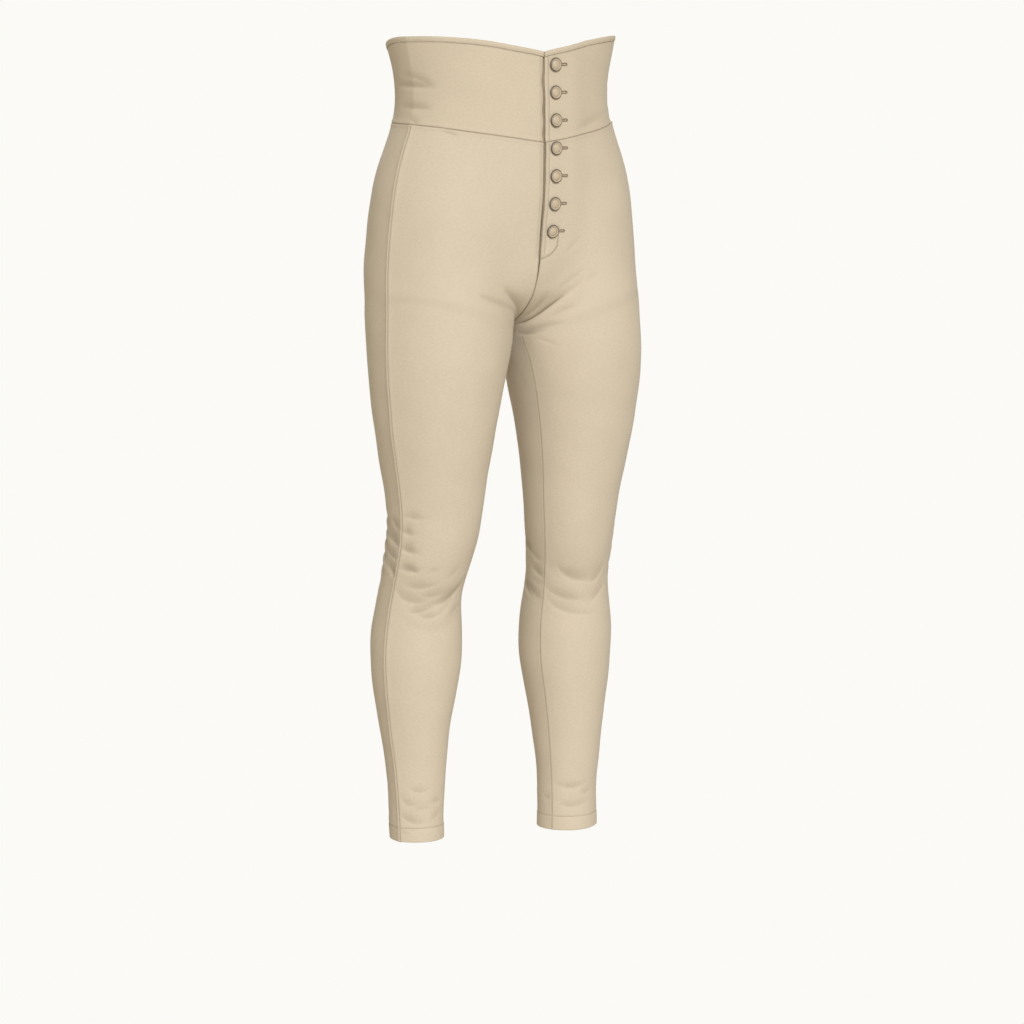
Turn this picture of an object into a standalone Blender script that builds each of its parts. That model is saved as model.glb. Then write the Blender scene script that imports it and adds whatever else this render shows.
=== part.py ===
"""Pantaloons: high flared waistband, buttoned front, tapered legs with turned-up hems.

Metres, +Z up. The origin is the centre of the natural waist, the front faces -Y and
+X is the wearer's left. Every cloth piece is a closed wall worked out from the trunk
and leg sections below, cut along the seams that the tables name.
"""

from collections import namedtuple

import bmesh
import bpy
import numpy as np

# Cloth and seams
CLOTH = 0.0018
BAND_CLOTH = 0.0024
SEAM_GAP = 0.0003
HEM_HEIGHT = 0.017
HEM_PROUD = 0.0005
HEM_CLOTH = 0.0030
BINDING_HEIGHT = 0.0068
BINDING_CLOTH = 0.0040

# Front closing: the wearer's left front laps over a button stand on the right
STAND_WIDTH = 0.036
STAND_TOP_DROP = 0.004
FLY_BOTTOM = -0.205
LAP_FADE = 0.036
LAP_PLAY = 0.003
LAP_LIFT = BAND_CLOTH + SEAM_GAP
BUTTON_INSET = 0.0155
BUTTON_COUNT = 7
BUTTON_TOP = 0.0450
BUTTON_PITCH = 0.0346
BUTTON_DIAMETER = 0.0176

# Levels of the cut
HEM_LEVEL = -0.9520
HEM_TOP = HEM_LEVEL + HEM_HEIGHT
HEM_STEP = 0.0010
LEVEL_TOP_ROW = -0.1300
FORK_OUTER_LEVEL = -0.2400
FAN_HEIGHT = -0.1300
FORK_AHEAD = 0.0080
FORK_DROP = 0.1600
INSEAM_SETTLES = 0.1100
INSEAM_SWINGS = 0.0450
TILT_RATE = 1.15

Trunk = namedtuple("Trunk", "height half_width front back")
TRUNK = (
    Trunk(0.095, 0.1580, 0.1060, 0.1150),
    Trunk(0.075, 0.1550, 0.1060, 0.1130),
    Trunk(0.045, 0.1480, 0.1062, 0.1080),
    Trunk(0.000, 0.1430, 0.1072, 0.1030),
    Trunk(-0.040, 0.1510, 0.1082, 0.1060),
    Trunk(-0.080, 0.1650, 0.1078, 0.1120),
    Trunk(-0.130, 0.1725, 0.1056, 0.1180),
    Trunk(-0.180, 0.1740, 0.0980, 0.1185),
    Trunk(-0.220, 0.1675, 0.0860, 0.1100),
    Trunk(-0.255, 0.1450, 0.0660, 0.0920),
    Trunk(-0.290, 0.1100, 0.0420, 0.0650),
)

Leg = namedtuple("Leg", "height centre_x centre_y half_width half_depth")
LEG = (
    Leg(-0.060, 0.0900, 0.0000, 0.0400, 0.0500),
    Leg(-0.120, 0.0920, 0.0000, 0.0700, 0.0860),
    Leg(-0.180, 0.0925, 0.0030, 0.0830, 0.0990),
    Leg(-0.240, 0.0945, -0.0005, 0.0905, 0.1010),
    Leg(-0.290, 0.0975, -0.0055, 0.0900, 0.0990),
    Leg(-0.330, 0.0990, -0.0090, 0.0885, 0.0935),
    Leg(-0.380, 0.1015, -0.0100, 0.0820, 0.0850),
    Leg(-0.430, 0.1025, -0.0090, 0.0745, 0.0770),
    Leg(-0.480, 0.1015, -0.0060, 0.0670, 0.0695),
    Leg(-0.530, 0.1005, -0.0020, 0.0610, 0.0630),
    Leg(-0.580, 0.1040, 0.0070, 0.0570, 0.0595),
    Leg(-0.630, 0.1085, 0.0210, 0.0545, 0.0570),
    Leg(-0.680, 0.1105, 0.0275, 0.0585, 0.0610),
    Leg(-0.730, 0.1110, 0.0290, 0.0570, 0.0595),
    Leg(-0.785, 0.1130, 0.0280, 0.0495, 0.0520),
    Leg(-0.835, 0.1130, 0.0270, 0.0418, 0.0444),
    Leg(-0.886, 0.1125, 0.0260, 0.0375, 0.0391),
    Leg(-0.952, 0.1120, 0.0250, 0.0368, 0.0372),
)
BLEND = 0.045
TRUNK_FADE = -0.235
TRUNK_FADE_RATE = 30.0
LEG_FADE_RATE = 0.5

# Edges of the waistband, by the angle round from the centre front
Rim = namedtuple("Rim", "angle top seam")
RIM = (
    Rim(0.0, 0.0600, -0.0520),
    Rim(20.0, 0.0680, -0.0450),
    Rim(45.0, 0.0765, -0.0375),
    Rim(66.0, 0.0790, -0.0315),
    Rim(85.0, 0.0780, -0.0300),
    Rim(114.0, 0.0640, -0.0296),
    Rim(150.0, 0.0465, -0.0300),
    Rim(180.0, 0.0430, -0.0300),
)

# Seams of the leg: degrees forward of straight outwards and of straight inwards
Seam = namedtuple("Seam", "height outer inner")
SEAM = (
    Seam(-0.030, 11.0, 23.0),
    Seam(-0.105, 12.0, 23.0),
    Seam(-0.165, 16.5, 23.0),
    Seam(-0.225, 20.0, 23.0),
    Seam(-0.310, 19.2, 24.0),
    Seam(-0.390, 19.0, 25.0),
    Seam(-0.550, 22.8, 26.0),
    Seam(-0.640, 23.2, 27.5),
    Seam(-0.740, 22.8, 29.0),
    Seam(-0.820, 22.8, 29.8),
    Seam(-0.890, 26.0, 30.5),
    Seam(-0.952, 28.0, 31.0),
)

# Search along a ray from inside the form
SMALL = 1e-9
CAST_STEPS = 52
CAST_REACH = 0.26
CAST_HALVINGS = 18
SLOPE_STEP = 0.0006

# Rows of points down a panel, and columns round it
RowRun = namedtuple("RowRun", "start end rows")
ROW_RUNS = (
    RowRun(-0.0300, LEVEL_TOP_ROW, 5),
    RowRun(LEVEL_TOP_ROW, FORK_OUTER_LEVEL, 9),
    RowRun(FORK_OUTER_LEVEL, -0.3600, 6),
    RowRun(-0.3600, -0.5200, 5),
    RowRun(-0.5200, -0.6700, 15),
    RowRun(-0.6700, -0.9000, 7),
    RowRun(-0.9000, HEM_TOP + HEM_STEP, 2),
    RowRun(HEM_TOP + HEM_STEP, HEM_TOP, 1),
    RowRun(HEM_TOP, HEM_LEVEL, 1),
)
FRONT_COLUMNS = 11
BACK_COLUMNS = 11
BAND_COLUMNS = 26
BAND_ROWS = 5
BINDING_SIDES = 10
BINDING_SQUARENESS = 0.6
STAND_DEPTH = 0.0005
STAND_ROWS = 13
STAND_COLUMNS = 2
FOLD_POINTS = 9
FOLD_START = 0.12
BUTTON_SIDES = 18
SHARP_ANGLE = 0.7

Turning = namedtuple("Turning", "radius height")
BUTTON_PROFILE = (
    Turning(0.30, 0.0000),
    Turning(0.34, 0.0010),
    Turning(0.92, 0.0012),
    Turning(1.00, 0.0022),
    Turning(0.96, 0.0036),
    Turning(0.86, 0.0040),
    Turning(0.74, 0.0034),
    Turning(0.45, 0.0042),
)

# The largest folds: bearings in degrees from straight ahead outwards, about the leg's
# middle; depth is negative for a trough
Fold = namedtuple("Fold", "side start_bearing start_height end_bearing end_height sag width depth")
FOLDS = (
    Fold(-1, 44, -0.626, -50, -0.608, 0.016, 0.0110, -0.0038),
    Fold(-1, 48, -0.656, -48, -0.640, 0.018, 0.0115, -0.0040),
    Fold(-1, 46, -0.641, -48, -0.624, 0.017, 0.0080, 0.0026),
    Fold(-1, 112, -0.528, 72, -0.552, 0.002, 0.0100, -0.0034),
    Fold(-1, 118, -0.558, 76, -0.586, 0.002, 0.0110, -0.0038),
    Fold(-1, 116, -0.543, 74, -0.569, 0.002, 0.0080, 0.0022),
    Fold(1, -54, -0.602, 32, -0.598, 0.018, 0.0110, -0.0038),
    Fold(1, -60, -0.630, 38, -0.622, 0.022, 0.0115, -0.0040),
    Fold(1, -58, -0.616, 36, -0.610, 0.020, 0.0080, 0.0026),
    Fold(1, -40, -0.662, 30, -0.658, 0.012, 0.0090, -0.0024),
    Fold(-1, 122, -0.612, 232, -0.604, -0.010, 0.0105, -0.0036),
    Fold(-1, 130, -0.574, 226, -0.580, 0.008, 0.0100, -0.0034),
    Fold(1, 120, -0.602, 236, -0.612, -0.010, 0.0105, -0.0036),
    Fold(1, 132, -0.580, 224, -0.570, 0.008, 0.0100, -0.0034),
    Fold(1, -62, -0.288, -18, -0.246, 0.004, 0.0100, -0.0034),
    Fold(-1, -60, -0.288, -26, -0.258, 0.004, 0.0090, -0.0024),
)

# Colours of the cloth and its edges
FRONT_COLOUR = (0.700, 0.595, 0.450)
BACK_COLOUR = (0.660, 0.560, 0.420)
BAND_COLOUR = (0.670, 0.560, 0.415)
EDGE_COLOUR = (0.620, 0.515, 0.375)
CLOTH_ROUGHNESS = 0.88


def curve(table, column, at):
    """Natural cubic curve through one column of a table, read at the first column's values."""
    rows = sorted(table)
    x = np.array([row[0] for row in rows])
    y = np.array([getattr(row, column) for row in rows])
    step = np.diff(x)
    count = len(x)
    system = np.eye(count)
    right = np.zeros(count)
    for i in range(1, count - 1):
        system[i, i - 1 : i + 2] = step[i - 1], 2 * (step[i - 1] + step[i]), step[i]
        right[i] = 6 * ((y[i + 1] - y[i]) / step[i] - (y[i] - y[i - 1]) / step[i - 1])
    bend = np.linalg.solve(system, right)
    at = np.clip(at, x[0], x[-1])
    i = np.clip(np.searchsorted(x, at) - 1, 0, count - 2)
    a = (x[i + 1] - at) / step[i]
    b = 1 - a
    cubic = (a**3 - a) * bend[i] + (b**3 - b) * bend[i + 1]
    return a * y[i] + b * y[i + 1] + cubic * step[i] ** 2 / 6


def ease(t):
    """0 to 1 with level ends."""
    t = np.clip(t, 0, 1)
    return t * t * (3 - 2 * t)


def joined(p, q):
    """The smaller of two distances, rounded where they meet over BLEND."""
    h = np.maximum(BLEND - np.abs(p - q), 0) / BLEND
    return np.minimum(p, q) - h**3 * BLEND / 6


def field(points):
    """Distance-like value of the garment's outer form: negative inside, zero on the cloth."""
    x, y, z = np.moveaxis(points, -1, 0)
    half_width = curve(TRUNK, "half_width", z)
    depth = np.where(y < 0, curve(TRUNK, "front", z), curve(TRUNK, "back", z))
    reach = np.sqrt((x / half_width) ** 2 + (y / depth) ** 2)
    mean_depth = (curve(TRUNK, "front", z) + curve(TRUNK, "back", z)) / 2
    below = np.maximum(TRUNK_FADE - z, 0)
    value = (reach - 1) * np.sqrt(half_width * mean_depth) + TRUNK_FADE_RATE * below**2
    centre_x = curve(LEG, "centre_x", z)
    centre_y = curve(LEG, "centre_y", z)
    half_width = curve(LEG, "half_width", z)
    depth = curve(LEG, "half_depth", z)
    above = np.maximum(z - LEG[0].height, 0)
    for side in (-1, 1):
        reach = np.sqrt(((x - side * centre_x) / half_width) ** 2 + ((y - centre_y) / depth) ** 2)
        value = joined(value, (reach - 1) * np.sqrt(half_width * depth) + LEG_FADE_RATE * above)
    return value


def outside_half(points):
    """True where a point is off the form or past the middle plane x = 0."""
    return (field(points) > 0) | (points[..., 0] < -SMALL)


def cast(origin, direction):
    """First point where each ray leaves the left half of the form, found by steps, then halving."""
    origin, direction = np.broadcast_arrays(origin, direction)
    low = np.zeros(origin.shape[:-1])
    found = np.zeros(origin.shape[:-1], bool)
    stride = CAST_REACH / CAST_STEPS
    for step in range(1, CAST_STEPS + 1):
        t = step * stride
        found |= outside_half(origin + t * direction)
        low = np.where(found, low, t)
    high = low + stride
    for _ in range(CAST_HALVINGS):
        middle = (low + high) / 2
        outside = outside_half(origin + middle[..., None] * direction)
        high = np.where(outside, middle, high)
        low = np.where(outside, low, middle)
    return origin + high[..., None] * direction


def normals(points):
    """Outward unit vectors: the slope of the field."""
    slope = np.empty_like(points)
    for axis in range(3):
        offset = np.zeros(3)
        offset[axis] = SLOPE_STEP
        slope[..., axis] = field(points + offset) - field(points - offset)
    return slope / np.linalg.norm(slope, axis=-1, keepdims=True)


def bearing(angle, elevation):
    """Unit vectors: angle from straight ahead (-Y) towards +X, elevation up; radians."""
    flat = np.cos(elevation)
    parts = (np.sin(angle) * flat, -np.cos(angle) * flat, np.sin(elevation) + 0 * angle)
    return np.stack(parts, -1)


def row_levels():
    """Heights of the panel rows at the outer seam, waist seam to hem."""
    levels = [ROW_RUNS[0].start]
    for run in ROW_RUNS:
        levels.extend(np.linspace(run.start, run.end, run.rows + 1)[1:])
    return np.array(levels)


def fan_centres(levels):
    """Points inside one half, from the body's middle at the waist to the leg's own middle."""
    share = ease((levels - ROW_RUNS[0].start) / (FORK_OUTER_LEVEL - ROW_RUNS[0].start))
    x = curve(LEG, "centre_x", levels) * share
    y = curve(LEG, "centre_y", levels) * share
    return np.stack((x, y, levels), -1)


def centre_curve(levels, to_back):
    """Points of the centre front or back seam, in the plane x = 0, one for each level."""
    share = np.clip((levels - FAN_HEIGHT) / (FORK_OUTER_LEVEL - FAN_HEIGHT), 0, 1)
    way = 1 if to_back else -1
    fork_angle = np.arctan2(FORK_DROP, -way * FORK_AHEAD)
    angle = fork_angle * share
    zero = 0 * angle
    origin = np.stack((zero, zero, np.maximum(levels, FAN_HEIGHT)), -1)
    direction = np.stack((zero, way * np.cos(angle), -np.sin(angle)), -1)
    return cast(origin, direction)


def seam_ends(levels, to_back):
    """Angle and elevation, from the fan centres, of a panel's inner edge at each level."""
    centres = fan_centres(levels)
    towards = centre_curve(levels, to_back) - centres
    angle = np.arctan2(towards[:, 0], -towards[:, 1])
    elevation = np.arctan2(towards[:, 2], np.hypot(towards[:, 0], towards[:, 1]))
    below = levels < FORK_OUTER_LEVEL - SMALL
    fork_level = np.array([FORK_OUTER_LEVEL])
    at_fork = (centre_curve(fork_level, to_back) - fan_centres(fork_level))[0]
    fork_angle = np.arctan2(at_fork[0], -at_fork[1])
    fork_elevation = np.arctan2(at_fork[2], np.hypot(at_fork[0], at_fork[1]))
    swing = ease((FORK_OUTER_LEVEL - levels) / INSEAM_SWINGS)
    settle = ease((FORK_OUTER_LEVEL - levels) / INSEAM_SETTLES)
    turn = np.radians(curve(SEAM, "inner", levels) - 90)
    leg_angle = fork_angle + (turn - fork_angle) * swing
    angle = np.where(below, leg_angle, angle)
    elevation = np.where(below, fork_elevation * (1 - settle), elevation)
    if to_back:
        angle = np.where(angle < 0, angle + 2 * np.pi, angle)
    return angle, elevation


def panel_points(levels, columns, to_back):
    """Grid of points on the outer form for one half's front or back, inner seam to outer seam."""
    centres = fan_centres(levels)[:, None]
    inner_angle, inner_elevation = seam_ends(levels, to_back)
    outer_angle = np.radians(90 - curve(SEAM, "outer", levels))
    t = np.linspace(0, 1, columns + 1)
    angle = inner_angle[:, None] + (outer_angle - inner_angle)[:, None] * t
    elevation = inner_elevation[:, None] * (1 - ease(t * TILT_RATE))
    dip = curve(RIM, "seam", np.degrees(np.abs(angle))) - levels[0]
    dip = dip * (1 - ease((levels[0] - levels) / (levels[0] - LEVEL_TOP_ROW)))[:, None]
    origin = np.broadcast_to(centres, angle.shape + (3,)).copy()
    origin[..., 2] += dip
    points = cast(origin, bearing(angle, elevation))
    on_middle = (levels >= FORK_OUTER_LEVEL - SMALL) & (levels <= FAN_HEIGHT)
    points[on_middle, 0] = centre_curve(levels[on_middle], to_back)
    return points


def pulled_in(points):
    """The grid with its two long edges moved half a seam gap inwards along the rows."""
    points = points.copy()
    for edge, beside in ((0, 1), (-1, -2)):
        step = points[:, beside] - points[:, edge]
        step /= np.linalg.norm(step, axis=-1, keepdims=True)
        points[:, edge] += step * SEAM_GAP / 2
    return points


def on_leg(bearing_degrees, height):
    """Point of the left leg's form at a bearing from straight ahead, about the leg's middle."""
    centre = fan_centres(np.array([height]))[0]
    angle = np.radians(bearing_degrees)
    return cast(centre, bearing(np.array(angle), np.array(0.0)))


def fold_route(fold):
    """Points along a fold on the left half of the form, from its two ends and its sag."""
    share = np.linspace(0, 1, FOLD_POINTS)
    bearings = fold.start_bearing + (fold.end_bearing - fold.start_bearing) * share
    heights = fold.start_height + (fold.end_height - fold.start_height) * share
    heights = heights - fold.sag * 4 * share * (1 - share)
    return np.array([on_leg(b, h) for b, h in zip(bearings, heights)])


def fold_push(points, side):
    """How far the folds move each point outwards: ridges positive, troughs negative."""
    push = np.zeros(points.shape[:-1])
    for fold in FOLDS:
        if fold.side != side:
            continue
        route = fold_route(fold)
        start = route[:-1]
        run = route[1:] - start
        offset = points[..., None, :] - start
        along = np.clip(np.sum(offset * run, -1) / np.sum(run * run, -1), 0, 1)
        away = np.linalg.norm(offset - along[..., None] * run, axis=-1)
        nearest = np.argmin(away, -1)
        distance = np.take_along_axis(away, nearest[..., None], -1)[..., 0]
        share = np.take_along_axis(along, nearest[..., None], -1)[..., 0]
        share = (nearest + share) / (FOLD_POINTS - 1)
        swell = np.sin(np.pi * (FOLD_START + (1 - 2 * FOLD_START) * share))
        strength = swell * np.exp(-((distance / fold.width) ** 2))
        push += fold.depth * strength
    return push


def lap_push(points):
    """How far the wearer's left front stands out over the button stand."""
    across = 1 - ease((points[..., 0] - STAND_WIDTH - LAP_PLAY) / LAP_FADE)
    down = 1 - ease((FLY_BOTTOM - LAP_PLAY - points[..., 2]) / LAP_FADE)
    in_front = ease(-points[..., 1] / LAP_FADE)
    return LAP_LIFT * across * down * in_front


def mirrored(points, side):
    """The left half's points, or the right half's for side -1."""
    return points * np.array([side, 1, 1])


def wall(outer, inner):
    """Vertices and faces of the closed wall between two matching grids."""
    rows, columns = outer.shape[:2]
    index = np.arange(rows * columns).reshape(rows, columns)
    under = index + rows * columns
    quads = [(index[:-1, :-1], index[:-1, 1:], index[1:, 1:], index[1:, :-1])]
    quads.append((under[:-1, :-1], under[1:, :-1], under[1:, 1:], under[:-1, 1:]))
    for a, b in (
        (index[0], under[0]),
        (under[-1], index[-1]),
        (under[:, 0], index[:, 0]),
        (index[:, -1], under[:, -1]),
    ):
        quads.append((a[:-1], b[:-1], b[1:], a[1:]))
    faces = np.concatenate([np.stack([corner.ravel() for corner in quad], -1) for quad in quads])
    return np.concatenate((outer.reshape(-1, 3), inner.reshape(-1, 3))), faces


def panel(side, to_back):
    """One leg's front or back: waist seam to turned-up hem."""
    levels = row_levels()
    columns = BACK_COLUMNS if to_back else FRONT_COLUMNS
    form = pulled_in(panel_points(levels, columns, to_back))
    out = normals(form)
    push = fold_push(form, side)
    hem = (levels <= HEM_TOP)[:, None]
    push = push + np.where(hem, HEM_PROUD, 0)
    if side > 0 and not to_back:
        push = push + lap_push(form)
    thickness = np.where(hem, HEM_CLOTH, CLOTH)
    outer = form + push[..., None] * out
    inner = form + (push - thickness)[..., None] * out
    return wall(mirrored(outer, side), mirrored(inner, side))


def band_points(angles, shares, drop):
    """Grid on the form between the waist seam and the top edge lowered by drop."""
    low = curve(RIM, "seam", np.degrees(angles)) + SEAM_GAP
    high = curve(RIM, "top", np.degrees(angles)) - drop
    height = low + (high - low) * shares[:, None]
    zero = np.zeros_like(height)
    origin = np.stack((zero, zero, height), -1)
    return cast(origin, bearing(angles + zero, zero))


def waistband(side):
    """One half of the waistband, from the centre front to the centre back."""
    angles = np.linspace(0, np.pi, BAND_COLUMNS + 1)
    shares = np.linspace(0, 1, BAND_ROWS + 1)
    form = pulled_in(band_points(angles, shares, BINDING_HEIGHT + SEAM_GAP))
    out = normals(form)
    push = lap_push(form) if side > 0 else np.zeros(form.shape[:-1])
    outer = form + push[..., None] * out
    inner = form + (push - BAND_CLOTH)[..., None] * out
    return wall(mirrored(outer, side), mirrored(inner, side))


def binding(side):
    """The bound top edge of one half: a rounded strip that follows the rim."""
    angles = np.linspace(0, np.pi, BAND_COLUMNS + 1)
    form = band_points(angles, np.array([1.0]), BINDING_HEIGHT / 2)
    above = band_points(angles, np.array([1.0]), 0.0)
    form = pulled_in(form)[0]
    out = normals(form)
    up = pulled_in(above)[0] - form
    up[:, 0] = np.where(np.abs(form[:, 0]) < SEAM_GAP, 0, up[:, 0])
    up /= np.linalg.norm(up, axis=-1, keepdims=True)
    push = lap_push(form) if side > 0 else np.zeros(len(form))
    centre = form + (push - BAND_CLOTH / 2)[:, None] * out
    turn = np.linspace(0, 2 * np.pi, BINDING_SIDES, endpoint=False)
    across = np.sign(np.cos(turn)) * np.abs(np.cos(turn)) ** BINDING_SQUARENESS
    along = np.sign(np.sin(turn)) * np.abs(np.sin(turn)) ** BINDING_SQUARENESS
    across = across * BINDING_CLOTH / 2
    along = along * BINDING_HEIGHT / 2
    ring = centre[:, None] + across[:, None] * out[:, None] + along[:, None] * up[:, None]
    vertices = mirrored(ring.reshape(-1, 3), side)
    index = np.arange(len(vertices)).reshape(len(angles), BINDING_SIDES)
    after = np.roll(index, -1, axis=1)
    quads = np.stack((index[:-1], after[:-1], after[1:], index[1:]), -1).reshape(-1, 4)
    return vertices, [*quads.tolist(), index[0].tolist(), index[-1].tolist()]


def button_stand():
    """The strip behind the left front that carries the buttons, an extension of the right front."""
    top = RIM[0].top - BINDING_HEIGHT - STAND_TOP_DROP
    heights = np.linspace(top, FLY_BOTTOM, STAND_ROWS + 1)
    widths = np.linspace(SEAM_GAP / 2, STAND_WIDTH, STAND_COLUMNS + 1)
    x, z = np.meshgrid(widths, heights)
    origin = np.stack((x, 0 * x, z), -1)
    form = cast(origin, np.array([0.0, -1.0, 0.0]))
    out = normals(form)
    return wall(form - STAND_DEPTH * out, form - (STAND_DEPTH + CLOTH) * out)


def button(number):
    """A turned button on the left front: flat back, short shank, raised rim and low dome."""
    height = BUTTON_TOP - (number - 1) * BUTTON_PITCH
    seat = cast(np.array([BUTTON_INSET, 0, height]), np.array([0.0, -1.0, 0.0]))
    axis = normals(seat)
    seat = seat + (lap_push(seat) + SEAM_GAP) * axis
    side = np.cross(np.array([0.0, 0, 1]), axis)
    side /= np.linalg.norm(side)
    up = np.cross(axis, side)
    turn = np.linspace(0, 2 * np.pi, BUTTON_SIDES, endpoint=False)
    spoke = np.cos(turn)[:, None] * side + np.sin(turn)[:, None] * up
    rings = [
        seat + axis * row.height + spoke * row.radius * BUTTON_DIAMETER / 2 for row in BUTTON_PROFILE
    ]
    vertices = np.concatenate(rings)
    index = np.arange(len(vertices)).reshape(len(rings), BUTTON_SIDES)
    after = np.roll(index, -1, axis=1)
    quads = np.stack((index[:-1], after[:-1], after[1:], index[1:]), -1).reshape(-1, 4)
    return vertices, [*quads.tolist(), index[0].tolist(), index[-1].tolist()]


def cloth_material(name, colour):
    """Matt woven cloth of one colour."""
    material = bpy.data.materials.new(name)
    material.use_nodes = True
    shader = material.node_tree.nodes["Principled BSDF"]
    shader.inputs["Base Color"].default_value = (*colour, 1)
    shader.inputs["Roughness"].default_value = CLOTH_ROUGHNESS
    shader.inputs["Metallic"].default_value = 0.0
    return material


def add_object(name, shape, material):
    """One closed solid with its faces turned outwards."""
    vertices, faces = shape
    mesh = bpy.data.meshes.new(name)
    mesh.from_pydata(np.asarray(vertices).tolist(), [], [list(map(int, face)) for face in faces])
    work = bmesh.new()
    work.from_mesh(mesh)
    bmesh.ops.recalc_face_normals(work, faces=work.faces)
    work.to_mesh(mesh)
    work.free()
    mesh.shade_smooth()
    mesh.set_sharp_from_angle(angle=SHARP_ANGLE)
    mesh.materials.append(material)
    item = bpy.data.objects.new(name, mesh)
    bpy.context.collection.objects.link(item)


def build():
    """Clears the scene and makes every piece."""
    for item in list(bpy.data.objects):
        bpy.data.objects.remove(item, do_unlink=True)
    for label, side in (("right", -1), ("left", 1)):
        add_object(f"front_{label}", panel(side, False), cloth_material(f"front_{label}", FRONT_COLOUR))
        add_object(f"back_{label}", panel(side, True), cloth_material(f"back_{label}", BACK_COLOUR))
        band = cloth_material(f"waistband_{label}", BAND_COLOUR)
        add_object(f"waistband_{label}", waistband(side), band)
        add_object(f"binding_{label}", binding(side), cloth_material(f"binding_{label}", EDGE_COLOUR))
    add_object("button_stand", button_stand(), cloth_material("button_stand", BAND_COLOUR))
    for number in range(1, BUTTON_COUNT + 1):
        add_object(f"button_{number}", button(number), cloth_material(f"button_{number}", EDGE_COLOUR))


build()
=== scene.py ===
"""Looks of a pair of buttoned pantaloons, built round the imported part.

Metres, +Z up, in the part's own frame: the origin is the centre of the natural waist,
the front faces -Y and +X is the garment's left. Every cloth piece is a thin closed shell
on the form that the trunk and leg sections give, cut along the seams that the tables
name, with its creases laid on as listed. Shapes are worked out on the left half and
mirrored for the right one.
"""

import sys
import logging
from dataclasses import dataclass, field
from enum import Enum
from typing import NamedTuple, Sequence

import bpy
import numpy as np
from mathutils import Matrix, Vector


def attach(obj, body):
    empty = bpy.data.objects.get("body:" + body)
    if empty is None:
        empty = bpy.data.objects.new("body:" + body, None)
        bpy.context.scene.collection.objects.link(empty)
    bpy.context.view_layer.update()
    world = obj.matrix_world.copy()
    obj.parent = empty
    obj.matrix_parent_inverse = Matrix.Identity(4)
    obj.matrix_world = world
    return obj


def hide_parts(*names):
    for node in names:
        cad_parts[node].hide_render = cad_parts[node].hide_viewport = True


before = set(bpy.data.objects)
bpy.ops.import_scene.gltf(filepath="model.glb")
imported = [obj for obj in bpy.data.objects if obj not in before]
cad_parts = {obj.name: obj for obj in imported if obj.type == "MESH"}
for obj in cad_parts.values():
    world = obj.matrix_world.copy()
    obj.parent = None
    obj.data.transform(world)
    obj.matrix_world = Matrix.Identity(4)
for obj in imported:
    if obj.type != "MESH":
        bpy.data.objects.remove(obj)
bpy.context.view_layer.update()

LOG = logging.getLogger("pantaloons")
ROOT = "root"
Array = np.ndarray


class Side(Enum):
    """Half of the garment, by the sign of X."""

    RIGHT = -1
    LEFT = 1


class Face(Enum):
    """Front or back panel of a leg."""

    FRONT = "front"
    BACK = "back"


class About(Enum):
    """What a crease's bearings are measured about."""

    LEG = "leg"
    WAIST = "waist"


class TrunkSection(NamedTuple):
    """Ellipse of the trunk at a height, with its own depth in front and behind."""

    height: float
    half_width: float
    front: float
    back: float


class LegSection(NamedTuple):
    """Ellipse of a leg at a height."""

    height: float
    centre_x: float
    centre_y: float
    half_width: float
    half_depth: float


class RimPoint(NamedTuple):
    """Heights of the top edge and of the waist seam at an angle from the centre front."""

    angle: float
    top: float
    seam: float


class SeamPoint(NamedTuple):
    """Degrees that the leg seams lie forward of straight outwards and of straight inwards."""

    height: float
    outer: float
    inner: float


class RowRun(NamedTuple):
    """Rows of a panel down to a height from the last run's end, and the space between them."""

    end: float
    spacing: float


class Crease(NamedTuple):
    """A crease through three points of bearing (degrees from straight ahead outwards) and height.

    It runs from its inner to its outer end, so that its second side is the lower one.
    Depth is negative for a trough. Lean above 1 makes the lower side the steep one, and
    lip is the share of the depth that stands up again below it.
    """

    bearing_1: float
    height_1: float
    bearing_2: float
    height_2: float
    bearing_3: float
    height_3: float
    width: float
    depth: float
    lean: float
    lip: float


class Wave(NamedTuple):
    """A long, faint ripple of the cloth: cycles a metre along each axis, phase and height."""

    across: float
    through: float
    up: float
    phase: float
    height: float


class Taper(NamedTuple):
    """How far the cloth of the right and of the left leg stands off its form at a height."""

    height: float
    right: float
    left: float


class Fullness(NamedTuple):
    """A soft swelling of the cloth: its centre on the left half, its reach and its height."""

    across: float
    through: float
    up: float
    reach: float
    height: float


class Sway(NamedTuple):
    """A wave down the lap's edge: its length, phase and height."""

    length: float
    phase: float
    height: float


class Point(NamedTuple):
    """Place on the front closing: distance from the centre front and height."""

    across: float
    height: float


class Turning(NamedTuple):
    """Point of a button's outline: share of its radius, height off the cloth and painted shade."""

    radius: float
    height: float
    dark: float


class Cut(NamedTuple):
    """A piece of the flat cut: greatest width and length, and its area."""

    width: float
    length: float
    area: float


class Sun(NamedTuple):
    """A light from a bearing and elevation in degrees."""

    name: str
    azimuth: float
    elevation: float
    strength: float


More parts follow.
